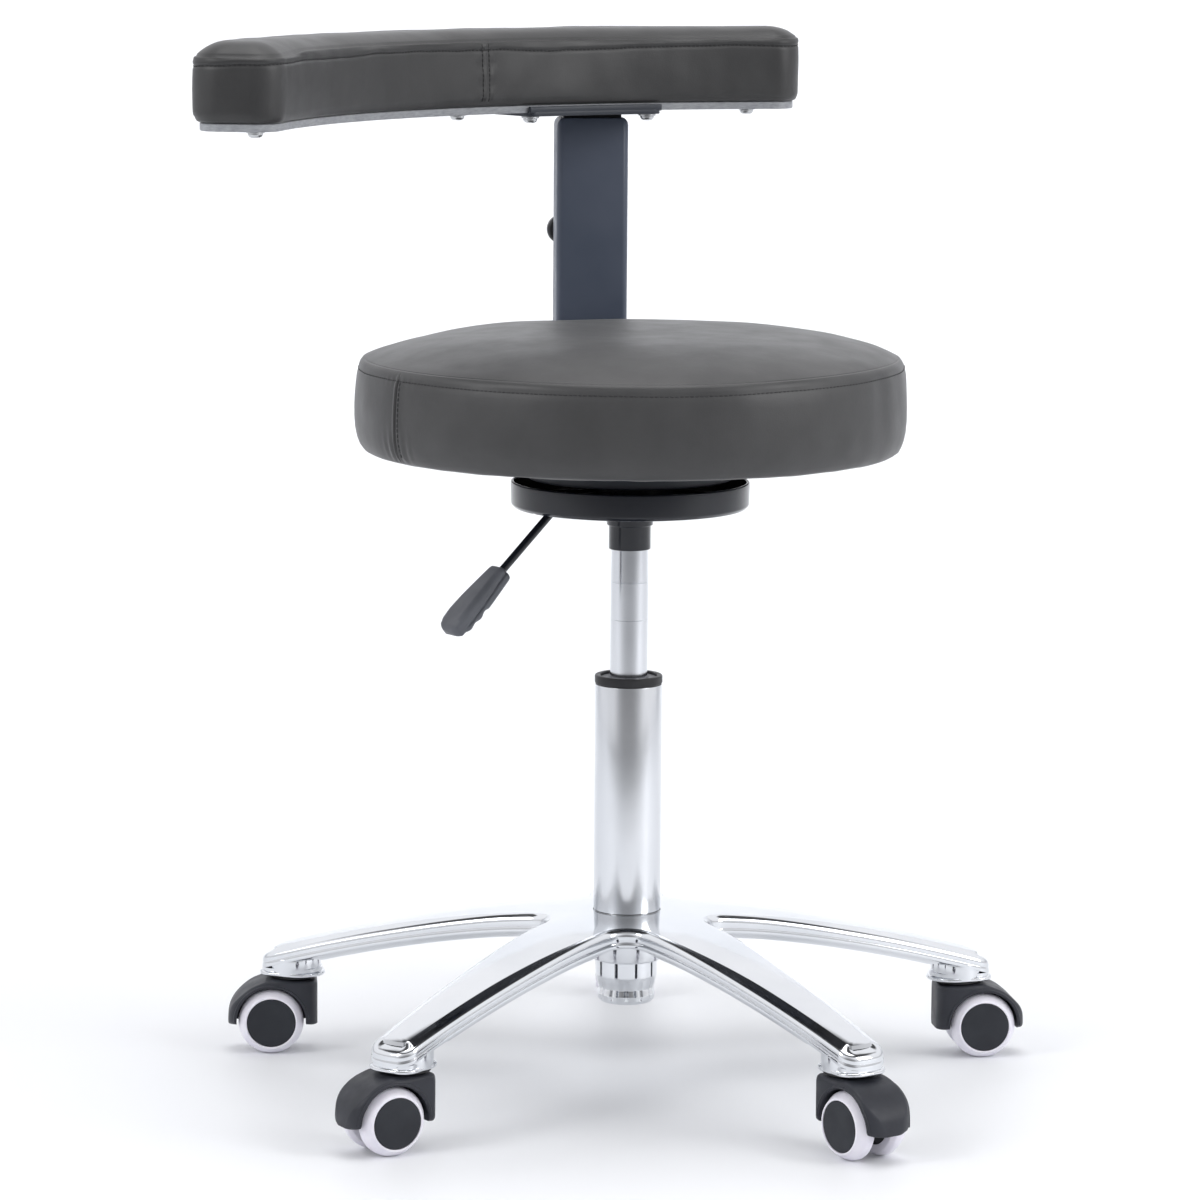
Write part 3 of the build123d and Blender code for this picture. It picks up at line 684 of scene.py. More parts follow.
def make_cup():
    """The cup under the star, with twelve shallow flutes."""
    low, high = cup_low.z, cup_high.z
    radius = cup_high.x
    outline = [(0, low + 1.5), (14, low + 1.5), (15, low), (radius - 3.6, low), (radius - 1.6, low + 2.5),
               (radius - 1.2, low + 6), (radius - 2.2, low + 11), (radius - 0.7, low + 17),
               (radius - 0.3, low + 19.5), (radius, low + 20.2), (radius, high + 2), (19.5, high + 2)]

    def flutes(r, z, angle):
        """The cup's radius, cut in by its flutes."""
        depth = 0.9 * smooth(z, low + 0.5, low + 5) * (1 - smooth(z, low + 15, low + 19.5)) * (r > 15)
        return r - depth * (0.5 + 0.5 * math.cos(12 * angle)) ** 5

    outline = spread(rounded(outline, 1.4, 5), 1.6)
    turned("fluted_cup", outline, "chrome_plate", "base", ["bottom_cup"], 60, 240, flutes)


def make_cylinder():
    """The gas cylinder, with a fine scribed ring and the step where its cone begins."""
    low, high = box_mm("gas_cylinder")
    radius = high.x
    cone = 378.0
    ring = cone - 28
    outline = [(0, low.z), (radius, low.z), (radius, ring - 0.2), (radius - 0.12, ring), (radius, ring + 0.2),
               (radius, cone), (radius - 0.35, cone + 0.2), (radius - 0.35, cone + 0.9),
               (radius - 0.1, cone + 1.1), (radius - 1.0, high.z), (0, high.z)]
    turned("cylinder_tube", outline, "satin_chrome", "seat", ["gas_cylinder"], 30, slot="chrome_plate")


def make_socket():
    """The taper socket: a collar, a step under the dish, the body inside it and the neck the arm turns on."""
    low, high = box_mm("mechanism_housing")
    foot = low.z
    step = foot + 18
    flange, floor, deck = pan_low.z - 1.4, pan_low.z + 2.5, 441
    bore, mouth, neck = 13.7, 18, 32
    outline = [(bore, foot), (15.6, foot), (15.6, step), (17.2, step), (17.2, flange), (26, flange),
               (26, floor), (50, floor), (50, deck), (neck + 1, deck), (neck, deck + 2), (neck, high.z),
               (mouth, high.z), (mouth, foot + 40), (bore, foot + 37), (bore, foot)]
    turned("taper_socket", rounded(outline, 0.7, 3), "black_gloss_paint", "seat", ["mechanism_housing"], 50)


def make_pan():
    """The open dish under the seat; the lever's slot is cut in it later."""
    radius, foot, rim = pan_high.x, pan_low.z - 1.2, pan_high.z
    bore, floor = 26.2, foot + 2.5
    outline = [(bore, foot), (radius - 3, foot), (radius - 0.4, foot + 2.6), (radius, rim - 2.4),
               (radius, rim), (radius - 2.4, rim), (radius - 2.6, floor), (bore, floor), (bore, foot)]
    radii = [0, 1.5, 2.2, 1.2, 1.1, 0.9, 1.5, 0.5, 0]
    return turned("dish", rounded(outline, radii, 6), "black_gloss_paint", "seat", ["seat_pan"], 50, 160)


make_column()
make_column_cap()
make_cup()
make_cylinder()
make_socket()
dish = make_pan()

# ---- star base ------------------------------------------------------------------------
ARMS = 5
first_stem = joint_place("caster_1_swivel")
stem_radius = first_stem.xy.length
first_arm = math.degrees(math.atan2(first_stem.y, first_stem.x))
arm_reach = star_high.y
root_half, tip_half = 35.0, 18.6
crotch_corner, tip_corner, tip_bow = 18.0, 12.0, 60.0
crown_rise, crown_start, crown_run, crown_fall, crown_power = 0.9, 28.0, 263.0, 51.4, 1.6
skirt = 13.5
collar = 25.4
top_bulge = 0.9
skin = 6.5
nose_radius = 5.6
shoulder_slope = math.radians(24)


def crown_line(reach):
    """Height of the arms' top edge at a distance from the column axis."""
    run = max(0.0, (reach - crown_start) / crown_run)
    return star_high.z + crown_rise - crown_fall * run ** crown_power


def keel_depth(reach):
    """How far the keels hang below the skirt."""
    return 1.0 + 3.4 * (1 - smooth(reach, 238, 252)) * smooth(reach, 44, 82)


def shoulder_profile(reach):
    """The arms' top edge as (inset, drop) points: a sloping shoulder, then a rounded nose."""
    band = 0.8 + 4.2 * smooth(reach, 55, 190)
    slope = shoulder_slope
    nose = [(nose_radius * (1 - math.sin(t)), nose_radius * (math.cos(slope) - math.cos(t)))
            for t in [slope + (math.pi / 2 - slope) * k / 9 for k in range(10)]]
    start = nose[0][0]
    fall = band * math.tan(slope)
    ramp = [(start + band + 0.6, 0.0), (start + band, 0.08), (start + band - 0.5, 0.3),
            (start + band * 0.5, fall * 0.52)]
    return ramp + [(inset, fall + drop) for inset, drop in nose]


def star_outline():
    """The plan of the star: five tapering arms with rounded tips and rounded crotches."""
    corners, radii = [], []
    half_step = math.pi / ARMS
    slope = (root_half - tip_half) / arm_reach
    crotch = root_half / (math.sin(half_step) + slope * math.cos(half_step))
    tip = ((arm_reach - 1.5, -tip_half, tip_corner), (arm_reach + 0.2, 0, tip_bow),
           (arm_reach - 1.5, tip_half, tip_corner))
    for k in range(ARMS):
        turn = math.radians(first_arm + 360 / ARMS * k)
        for reach, side, radius in tip:
            corners.append((reach * math.cos(turn) - side * math.sin(turn),
                            reach * math.sin(turn) + side * math.cos(turn)))
            radii.append(radius)
        corners.append((crotch * math.cos(turn + half_step), crotch * math.sin(turn + half_step)))
        radii.append(crotch_corner)
    return spread(rounded(corners, radii, 12, closed=True), 2.5, closed=True)


def arm_place(point):
    """A plan point as distance along its arm, distance across it, and the arm's angle."""
    angle = math.degrees(math.atan2(point.y, point.x)) - first_arm
    arm = round(angle / (360 / ARMS)) * (360 / ARMS)
    turn = math.radians(first_arm + arm)
    along = point.x * math.cos(turn) + point.y * math.sin(turn)
    across = -point.x * math.sin(turn) + point.y * math.cos(turn)
    return along, across, turn


def spine_point(point):
    """The point on the collar or on the arm's middle line that an outline point runs in to."""
    along, across, turn = arm_place(point)
    end = arm_reach - 17.0
    blend = smooth(along, 45.0, 105.0)
    swing = math.copysign((1 - blend) * math.pi / ARMS * min(1.0, abs(across) / 26.0), across)
    reach = collar if along < 105 else collar + (end - collar) * min(1.0, (along - 105) / (end - 105))
    return Vector((reach * math.cos(turn + swing), reach * math.sin(turn + swing)))


def star_top(point, edge_share):
    """Height of the top skin; edge_share is 0 at the outline and 1 at the middle."""
    along = arm_place(point)[0]
    radius = point.length
    reach = along + (radius - along) * (1 - smooth(radius, 60, 110))
    return crown_line(reach) + top_bulge * (1 - (1 - edge_share) ** 2) * smooth(radius, 30, 80)


def make_star():
    """The star's skin by rows: over the top, round the shoulder, down skirt and keel and back."""
    outline = star_outline()
    count = len(outline)
    spine = [spine_point(p) for p in outline]
    inward = inward_of(outline)
    edge = [star_top(p, 0) for p in outline]
    reach = [arm_place(p)[0] for p in outline]
    edges = [shoulder_profile(r) for r in reach]
    rows = []
    shares = [1 - math.cos(math.pi / 2 * k / 22) for k in range(23)]

    def edge_row(inset_of, drop_of):
        """A row along the outline, moved in and down from the top edge."""
        points = []
        for i in range(count):
            flat = outline[i] + inward[i] * inset_of(i)
            points.append(Vector((flat.x, flat.y, edge[i] - drop_of(i))))
        rows.append(points)

    def skin_row(inset_of, share, below):
        """A row of the top skin, or under it, a share of the way to the spine."""
        points = []
        for i in range(count):
            flat = (outline[i] + inward[i] * inset_of(i)).lerp(spine[i], share)
            points.append(Vector((flat.x, flat.y, star_top(flat, share) - below)))
        rows.append(points)

    for share in reversed(shares):
        skin_row(lambda i: edges[i][0][0], share, 0.0)
    for k in range(1, len(edges[0])):
        edge_row(lambda i, k=k: edges[i][k][0], lambda i, k=k: edges[i][k][1])
    groove = [(-0.05, skirt * 0.64), (0.15, skirt * 0.69), (-0.15, skirt * 0.74)]
    hem = [(-0.6, skirt - 0.8), (-0.3, skirt), (3.6, skirt + 0.2), (4.4, skirt + 0.8)]
    for inset, drop in groove + hem:
        edge_row(lambda i, n=inset: n, lambda i, d=drop: d)
    for inset in (5.0, 8.6):
        edge_row(lambda i, n=inset: n, lambda i: skirt + keel_depth(reach[i]))
    inner_inset = 9.2
    for inset, drop in ((8.8, skirt - 4), (inner_inset, 6.0)):
        edge_row(lambda i, n=inset: n, lambda i, d=drop: d)
    for share in shares[4::3]:
        skin_row(lambda i: inner_inset, share, skin)
    vertices = [p for points in rows for p in points]
    return vertices, grid_faces(len(rows), count)


def make_hub():
    """The sleeve under the star that grips the column."""
    foot, bore = cup_high.z + 0.5, 23.6
    sleeve = [(bore, foot), (25.5, foot), (26.2, foot + 1), (27.5, star_high.z - 8),
              (collar - 0.2, star_high.z - 6.4), (bore, foot)]
    return lathe(rounded(sleeve, 0.6, 3), ROUND)


def tip_boss(number):
    """The socket boss under a tip, with the flared lip along the tip's edge."""
    stem = joint_place(f"caster_{number}_swivel")
    turn = math.atan2(stem.y, stem.x)
    foot = star_low.z
    place = Matrix.Translation((stem.x, stem.y, 0)) @ Matrix.Rotation(turn, 4, "Z")
    lip = tip_half + 1.3
    front, rear, corner = arm_reach + 1.1 - stem_radius, -4, 13.5
    corners = [(rear, -lip), (front, -lip), (front + 1.5, 0), (front, lip), (rear, lip)]
    nose = rounded(corners, [0, corner, tip_bow, corner, 0], 8, closed=True)
    half_turn = [math.pi * k / 24 for k in range(1, 24)]
    back = [Vector((rear - lip * math.sin(a), lip * math.cos(a))) for a in half_turn]
    outline = spread(nose + back, 3.0, closed=True)
    plate = prism(outline, [(2.2, foot), (0.5, foot + 0.2), (0, foot + 0.8), (0, foot + 2.4),
                            (0.5, foot + 3.0), (2.0, foot + 3.4), (2.0, foot + 6)], place)
    bore, outside = 6, 20.3
    boss = [(bore, foot + 0.3), (outside, foot + 0.3), (outside, foot + 14), (bore, foot + 14)]
    boss = lathe(rounded(boss, 0.8, 4), 64, place)
    return joined(plate, boss)


star_shells = [make_star(), make_hub()] + [tip_boss(n) for n in range(1, ARMS + 1)]
add_piece("star_casting", *joined(*star_shells), "cast_aluminium", "base", ["star_base"], 50)

# ---- casters --------------------------------------------------------------------------
CASTERS = range(1, ARMS + 1)
SIDES = ("left", "right")
axle_height = joint_place("wheel_1_left_spin").z
wheel_face = 23.0
wheel_inner = 7.5
hub_radius = 18.8
hood_half = 20.6
hood_nose, hood_tail = 9.0, 12.0
hood_arc, arch_arc = 33.0, 26.6
hood_front, hood_top = -17.6, 57.4
trail = (joint_place("wheel_1_left_spin") - joint_place("caster_1_swivel")).xy.length


def caster_place(number):
    """A caster's own frame in its rest pose: on the floor under its stem, x along its trail."""
    stem = joint_place(f"caster_{number}_swivel")
    axle = joint_place(f"wheel_{number}_left_spin")
    along = Vector((axle.x - stem.x, axle.y - stem.y, 0))
    return frame_at((stem.x, stem.y, 0), along, UP)


def hood_reach(angle):
    """The hood's outer radius about the axle; it is a little smaller low at the tail."""
    degrees = math.degrees(angle)
    return hood_arc - 2.4 * smooth(degrees, 12, 50) * (1 - smooth(degrees, 70, 100))


def hood_stations():
    """Pairs of outer and inner points round the hood, seen from the side, from the tail to the front leg."""
    centre = Vector((trail, axle_height))
    tail, leg = math.radians(-5.5), math.radians(184.5)
    pairs = []
    crest = math.asin((hood_top - axle_height) / hood_arc)
    for k in range(40):
        t = tail + (math.pi - crest - 0.12 - tail) * k / 39
        outer = centre + Vector((math.cos(t), math.sin(t))) * hood_reach(t)
        outer.y = min(outer.y, hood_top + 0.35)
        pairs.append((outer, t))
    last, start = pairs[-1]
    front = spread(rounded([last, (hood_front, hood_top - 1.2), (hood_front, 22.0)], 4.0, 8)[1:], 2.2)
    for k, outer in enumerate(front):
        pairs.append((outer, start + (leg - start) * ((k + 1) / len(front)) ** 0.85))
    return [(outer, centre + Vector((math.cos(t), math.sin(t))) * arch_arc) for outer, t in pairs]


def plan_share(x):
    """The hood's width at a place along the trail, as a share of its full width: both ends are rounded."""
    nose = max(0.0, hood_front + hood_nose - x)
    tail = max(0.0, x - (trail + hood_arc - hood_tail))
    cut = hood_nose - math.sqrt(max(0.0, hood_nose ** 2 - nose ** 2))
    cut += hood_tail - math.sqrt(max(0.0, hood_tail ** 2 - min(tail, hood_tail) ** 2))
    return 1 - cut / hood_half


def make_hood(number):
    """The twin-wheel fender: a rounded section swept round the arch, with a web and a stem seat."""
    place = caster_place(number)
    pairs = hood_stations()
    lengths = run_lengths([outer for outer, inner in pairs])
    rounding = 5.0
    vertices = []
    for (outer, inner), run in zip(pairs, lengths):
        to_end = min(run, lengths[-1] - run)
        tuck = rounding * (1 - math.sqrt(max(0.0, 1 - (1 - min(1.0, to_end / rounding)) ** 2)))
        across = hood_half - tuck * (1.0 if run < lengths[-1] / 2 else 0.5)
        thick = (outer - inner).length
        soft = min(6.0, thick * 0.86)
        corners = [(-across, -thick / 2), (across, -thick / 2), (across, thick / 2), (-across, thick / 2)]
        section = rounded(corners, [0.5, 0.5, soft, soft], 7, closed=True)
        mid = (outer + inner) / 2
        out = (outer - inner).normalized()
        for p in section:
            flat = mid + out * p.y
            vertices.append(place @ Vector((flat.x, p.x * plan_share(flat.x), flat.y)))
    faces = capped_faces(len(pairs), len(section))
    web_arc = arch_arc * 1.02
    web_points = [(trail + web_arc * math.cos(t), axle_height + web_arc * math.sin(t))
                  for t in [math.pi * k / 24 for k in range(25)]]
    web_points += [(trail - 8, axle_height - 5), (trail, axle_height - 9.5), (trail + 8, axle_height - 5)]
    side = place @ Matrix(((1, 0, 0, 0), (0, 0, -1, 0), (0, 1, 0, 0), (0, 0, 0, 1)))
    web = prism([Vector(p) for p in web_points], edge_levels(-6, 6, 1.0, 2), side)
    seat = lathe(rounded([(5.7, 50), (13.5, 50), (13.5, 58.2), (5.7, 58.2)], 0.8, 3), 48, place)
    shells = joined((vertices, faces), web, seat, *hood_rims(place))
    body = f"caster_{number}"
    add_piece(f"{body}_fender", *shells, "hood_plastic", body, [f"{body}_hood"], 50)


def hood_rims(place):
    """A raised bead along each side's arch."""
    shells = []
    bead_arc = arch_arc + 1.5
    for side in (-1, 1):
        path = []
        for k in range(33):
            t = math.radians(176 * k / 32)
            x = trail + bead_arc * math.cos(t)
            y = side * (hood_half * plan_share(x) - 0.4)
            path.append(Vector((x, y, axle_height + bead_arc * math.sin(t))))
        shells.append(tube([place @ p for p in path], 1.0, 8))
    return shells


def make_pins(number):
    """The steel collar and stem, the black dust ring and the axle."""
    place = caster_place(number)
    body = f"caster_{number}"
    stem = rounded([(0, 52), (9.2, 52), (9.2, 59.0), (5.5, 59.0), (5.5, 74), (0, 74)], 0.5, 3)
    turn = place.to_3x3()
    centre = place @ Vector((trail, 0, axle_height))
    axle = frame_at(centre, turn @ Vector((1, 0, 0)), turn @ Vector((0, 1, 0)))
    pin = rounded([(0, -20), (4, -20), (4, 20), (0, 20)], 0.6, 2)
    shells = joined(lathe(stem, 48, place), lathe(pin, 32, axle))
    add_piece(f"{body}_stem", *shells, "steel", body, [f"{body}_pins"])
    ring = rounded([(9.4, 57.9), (18.5, 57.9), (18.5, 59.3), (9.4, 59.3), (9.4, 57.9)], 0.5, 3)
    add_piece(f"{body}_dust_ring", *lathe(ring, 64, place), "black_plastic", body)


def make_wheel(number, side):
    """One wheel: a soft tread with rounded shoulders, and a hub with its domed cap."""
    body, caster = f"wheel_{number}_{side}", f"caster_{number}"
    spin = joint_place(f"{body}_spin")
    axis = Vector(joint(f"{body}_spin")["axis"])
    sign = 1 if side == "left" else -1
    along = caster_place(number).to_3x3() @ Vector((1, 0, 0))
    place = frame_at(spin, along, axis * sign)
    radius = axle_height
    seat = hub_radius - 2.0
    tyre = [(seat, wheel_inner), (radius - 3, wheel_inner), (radius, wheel_inner + 3),
            (radius, wheel_face - 7.5), (hub_radius + 1.2, wheel_face), (hub_radius, wheel_face - 0.3),
            (hub_radius, wheel_face - 3), (seat, wheel_face - 3), (seat, wheel_inner)]
    radii = [0, 1.5, 2.5, 5.5, 1.0, 0.2, 0.2, 0, 0]
    shell = lathe(spread(rounded(tyre, radii, 8), 2.0), 80, place)
    add_piece(f"{caster}_tread_{side}", *shell, "white_tread", body, [f"{caster}_tyre_{side}"], 50)
    rim = hub_radius - 0.15
    drum = hub_radius - 1.9
    hub = [(4.2, wheel_inner + 0.8), (6.5, wheel_inner + 0.8), (7.0, wheel_inner + 3),
           (drum - 0.3, wheel_inner + 3), (drum - 0.2, wheel_inner + 0.4), (drum, wheel_inner + 0.4),
           (drum, wheel_face - 2.9), (rim, wheel_face - 2.9), (rim, wheel_face - 0.9),
           (rim - 0.75, wheel_face - 0.25), (12, wheel_face + 0.05), (0, wheel_face + 0.25)]
    radii = [0, 0.5, 0.8, 0.8, 0, 0, 0, 0, 0.3, 0.5, 3, 0]
    shell = lathe(rounded(hub, radii, 4), 80, place)
    add_piece(f"{caster}_wheel_{side}", *shell, "hub_plastic", body, [f"{caster}_hub_{side}"], 40)


for number in CASTERS:
    make_hood(number)
    make_pins(number)
    for side in SIDES:
        make_wheel(number, side)

# ---- lever ----------------------------------------------------------------------------
lever_pivot = joint_place("lever_lift")
lever_axis = Vector(joint("lever_lift")["axis"])
lever_out = Vector((-lever_axis.y, lever_axis.x, 0))
if lever_out.dot(lever_pivot) < 0:
    lever_out = -lever_out
lever_height = lever_pivot.z
lever_bend = Vector((57.0, lever_height))
lever_start = -4.0
rod_radius, cross_pin_radius, cross_pin_half = 3.0, 2.0, 9.0
grip_start = Vector((108.0, 400.5))
grip_foot, grip_length = 9.0, 71.0
wave_start, wave_pitch, wave_depth = 37.0, 11.5, 1.5
seam_depth, seam_half_width = 1.3, 0.75


def lever_point(place):
    """A point from its radius and height in the lever's upright plane."""
    return lever_out * place[0] + UP * place[1]


def round_corner(point, width, thick, radius):
    """Move a point of a rectangle's edge in to the rectangle's rounded outline."""
    core = Vector((max(-width / 2 + radius, min(width / 2 - radius, point.x)),
                   max(-thick / 2 + radius, min(thick / 2 - radius, point.y))))
    return core + (point - core).normalized() * radius


def make_lever_bar(slope):
    """The bent rod, with the cross pin that it tips on."""
    flat = rounded([(lever_start, lever_height), lever_bend, grip_start + slope * 15], 9.0, 10)
    rod = tube([lever_point(p) for p in spread(flat, 8)], rod_radius, 24)
    reach = lever_axis * cross_pin_half
    pin = tube([lever_pivot - reach, lever_pivot + reach], cross_pin_radius, 20)
    add_piece("lever_bar", *joined(rod, pin), "black_gloss_paint", "lever", ["lever_rod"], 50)


def grip_stations(steps):
    """The grip's width and thickness at even runs along it, as (run, width, thickness)."""
    sections = [(grip_foot, 14, 9.5), (10, 16.5, 12), (12, 17.5, 13), (20, 19, 14), (32, 22.5, 14.5),
                (42, 24.5, 15), (54, 26, 15), (63, 25, 13.5), (68, 21.5, 11), (grip_length - 0.6, 16, 7.5),
                (grip_length, 13, 5)]
    stations = []
    for k in range(steps + 1):
        run = grip_foot + (grip_length - grip_foot) * k / steps
        i = max(j for j in range(len(sections) - 1) if sections[j][0] <= run)
        a, b = sections[i], sections[i + 1]
        t = (run - a[0]) / (b[0] - a[0])
        stations.append((run, a[1] + (b[1] - a[1]) * t, a[2] + (b[2] - a[2]) * t))
    return stations


def make_lever_grip(slope):
    """The moulded grip: a seam along each side and finger waves underneath."""
    place = frame_at(lever_point(grip_start), lever_axis, lever_point(slope))
    vertices = []
    stations = grip_stations(60)
    for run, width, thick in stations:
        square = [Vector((x * width / 2, y * thick / 2)) for x, y in ((-1, -1), (1, -1), (1, 1), (-1, 1))]
        section = [a.lerp(b, k / 20) for a, b in zip(square, square[1:] + square[:1]) for k in range(20)]
        section = [round_corner(q, width, thick, thick * 0.3) for q in section]
        wave = 0.5 - 0.5 * math.cos(2 * math.pi * (run - wave_start) / wave_pitch)
        groove = wave_depth * smooth(run, wave_start, wave_start + 4) * (1 - smooth(run, 63, 68)) * wave
        split = thick * (-0.04 + 0.22 * (run - grip_foot) / (grip_length - grip_foot))
        seam = seam_depth * (1 - smooth(run, grip_length - 14, grip_length - 6))
        for q in section:
            under = smooth(q.y, thick * 0.1, thick * 0.42)
            at_side = smooth(abs(q.x), width * 0.3, width * 0.42)
            line = seam * math.exp(-((q.y - split) / seam_half_width) ** 2) * at_side
            vertices.append(place @ Vector((q.x * (1 - line / (width / 2)), q.y - groove * under, run)))
    faces = capped_faces(len(stations), len(section))
    add_piece("lever_grip", vertices, faces, "handle_plastic", "lever", ["lever_handle"], 50)


lever_slope = (grip_start - lever_bend).normalized()
make_lever_bar(lever_slope)
make_lever_grip(lever_slope)

# ---- post and slider ------------------------------------------------------------------
arm_out = Vector(joint("knob_turn")["axis"])
post_base = 466.0
post_width, post_depth, post_wall = 56.0, 28.0, 2.5
post_reach = 232.0
mouth_corner = 6.0
post_centre = arm_out * post_reach
arm_side = UP.cross(arm_out)
post_place = frame_at((post_centre.x, post_centre.y, 0), arm_side, UP)


def make_post():
    """The rectangular tube, with the threaded boss for the knob on its back."""
    outer = rectangle(post_width, post_depth, 5.0, 8)
    inner = rectangle(post_width - 2 * post_wall, post_depth - 2 * post_wall, 2.6, 8)
    crown = post_high.z
    levels = [(outer, 0.6, post_base), (outer, 0, post_base + 0.6), (outer, 0, crown - 1.2),
              (outer, 0.35, crown - 0.35), (outer, 1.1, crown), (inner, 0, crown), (inner, 0, post_base)]
    vertices = []
    for outline, inset, height in levels:
        for p, inward in zip(outline, inward_of(outline)):
            flat = p + inward * inset
            drop = corner_drop(flat) if height > crown - 2 else 0
            vertices.append(post_place @ Vector((flat.x, flat.y, height - drop)))
    faces = grid_faces(len(levels), len(outer), wrap_rows=True)
    bore, foot, face = 5.1, -0.5, 7.4
    boss = rounded([(bore, foot), (9.5, foot), (9, face), (bore, face), (bore, foot)], 0.6, 3)
    boss = lathe(boss, 48, frame_at(joint_place("knob_turn"), arm_side, arm_out))
    add_piece("post_tube", *joined((vertices, faces), boss), "blue_grey_paint", "arm", ["arm_post"], 50)


def corner_drop(flat):
    """The post's mouth is cut down at its two side corners."""
    near = abs(flat.x) - (post_width / 2 - mouth_corner)
    return 0.0 if near <= 0 else mouth_corner - math.sqrt(max(0.0, mouth_corner ** 2 - near ** 2))


make_post()

# ---- sewn covers ----------------------------------------------------------------------
stitch_pitch, stitch_length, stitch_width = 3.6, 2.9, 0.75


def capsule(start, end, up, width, height):
    """A short thread stitch with rounded ends, lying between two points."""
    along = (end - start).normalized()
    across = along.cross(up).normalized()
    rings = [(-0.04, 0.25), (0.08, 0.8), (0.3, 1.0), (0.7, 1.0), (0.92, 0.8), (1.04, 0.25)]
    sides = 6
    vertices = []
    for share, size in rings:
        middle = start.lerp(end, share) + up * height * 0.35 * math.sin(math.pi * min(1.0, max(0.0, share)))
        for k in range(sides):
            turn = 2 * math.pi * k / sides
            offset = across * math.cos(turn) * width / 2 + up * math.sin(turn) * height / 2
            vertices.append(middle + offset * size)
    return vertices, capped_faces(len(rings), sides)


def stitch_line(path, normals, closed=False):
    """A row of stitches along a path of points with outward normals."""
    shells = []
    points = path + [path[0]] if closed else path
    ups = normals + [normals[0]] if closed else normals
    lengths = run_lengths(points)
    count = max(1, int(lengths[-1] / stitch_pitch))
    pitch = lengths[-1] / count
    index = 0

    def at(run):
        """The point and its outward direction at a distance along the path."""
        nonlocal index
        while index < len(lengths) - 2 and lengths[index + 1] < run:
            index += 1
        share = (run - lengths[index]) / max(1e-6, lengths[index + 1] - lengths[index])
        up = ups[index].lerp(ups[index + 1], share).normalized()
        return points[index].lerp(points[index + 1], share), up

    for k in range(count):
        start, up = at(k * pitch + (pitch - stitch_length) / 2)
        end = at(k * pitch + (pitch + stitch_length) / 2)[0]
        shells.append(capsule(start, end, up, stitch_width, stitch_width * 0.8))
    return joined(*shells)


def ripple(point, size, seed):
    """A smooth random field between about -1 and 1, over features of one size."""
    return noise.noise(Vector(point) / size + Vector((seed * 17.3, seed * 5.1, seed * 9.7))) * 1.6

# ---- seat cushion ---------------------------------------------------------------------
seam_radius, seam_height = 196.6, 545.6
stitch_radius, stitch_height = 201.6, 538.0
thread_radius = 202.0
band_seam = 213.6
band_radius = 204.0
recess_radius, recess_height = 191.2, 490.3
seat_top, seat_foot = seat_high.z, seat_low.z


def seat_profile():
    """The cushion's half section as (radius, height): crown, band, foot and recess."""
    crown = []
    for k in range(30):
        r = seam_radius * math.sin(math.pi / 2 * k / 29) ** 0.9
        share = r / seam_radius
        height = seam_height + (seat_top + 0.8 - seam_height) * (1 - share ** 4.0) ** 0.95
        crown.append((r, height))
    welt = [(seam_radius + out, seam_height - drop)
            for out, drop in ((0.3, 0.75), (0.8, 0.35), (2.2, 1.0), (3.6, 2.8), (4.6, 5.4))]
    band = [(stitch_radius + out, stitch_height - drop) for out, drop in ((0, 0), (0.35, 1.6), (1.1, 5))]
    lower = [(203.3, 528), (204.0, 520), (204.5, 511), (204.6, 502), (204.1, 494), (202.9, 487.5),
             (201.0, 482.6), (198.4, 479.0), (195.2, seat_foot + 0.5), (192.6, seat_foot + 0.2),
             (191.8, seat_foot + 1.4), (191.4, 486.0), (recess_radius, recess_height), (150, recess_height),
             (80, recess_height), (0, recess_height)]
    return crown + welt + band + lower


def seat_point(radius, height, angle):
    """A point of the cushion's skin, with the leather's slow waves, the band's seam and its gathers."""
    outward = Vector((math.cos(angle), math.sin(angle), 0))
    here = outward * radius + UP * height
    if radius < recess_radius + 0.3 and height < recess_height + 1:
        return here
    from_seam = math.radians((math.degrees(angle) - band_seam + 180) % 360 - 180) * band_radius
    on_top = smooth(height, seam_height - 0.4, seam_height + 1.5)
    on_band = 1 - smooth(height, stitch_height - 1, stitch_height + 5)
    on_band *= smooth(height, 478, 486)
    pucker = -0.55 * math.exp(-((height - stitch_height) / 1.3) ** 2)
    pucker *= 0.65 + 0.35 * math.cos(angle * math.pi * thread_radius / stitch_pitch)
    fuller = 2.0 * smooth(here.x, 40, 195) * smooth(height, 512, 540)
    lift = on_top * (0.9 * ripple(here, 95, 1) + 0.3 * ripple(here, 38, 2)) * smooth(radius, 0, 20)
    lift *= 1 - 0.75 * smooth(radius, seam_radius - 14, seam_radius - 2)
    squat = Vector((here.x, here.y, here.z * 0.45))
    push = on_band * (0.9 * ripple(here, 70, 3) + 0.4 * ripple(squat, 22, 4))
    ridge = 0.85 * math.exp(-((from_seam + 1.2) / 1.5) ** 2)
    ridge -= 1.15 * math.exp(-((from_seam - 0.7) / 0.65) ** 2)
    ridge += 0.5 * math.exp(-((from_seam - 5.0) / 3.0) ** 2)
    low_part = 1 - smooth(height, 480, 508)
    gather = 0.9 * low_part * math.exp(-(from_seam / 16) ** 2) * math.cos(from_seam * 0.75)
    hem = 0.0
    if height < 484:
        hem = 0.9 * ripple(Vector((here.x, here.y, 0)), 16, 5) * (1 - smooth(height, 477, 484))
    push += (ridge + gather) * on_band + pucker + hem
    return here + outward * push + UP * (lift + fuller + hem * 0.4)


def seat_angles():
    """Bearings round the seat in degrees, closer together near the band's seam."""
    angles = []
    turn = 0.0
    while turn < 360.0:
        angles.append(turn)
        away = abs((turn - band_seam + 180) % 360 - 180)
        turn += 0.1 if away < 2.6 else 0.35 if away < 6 else 1.0
    return angles


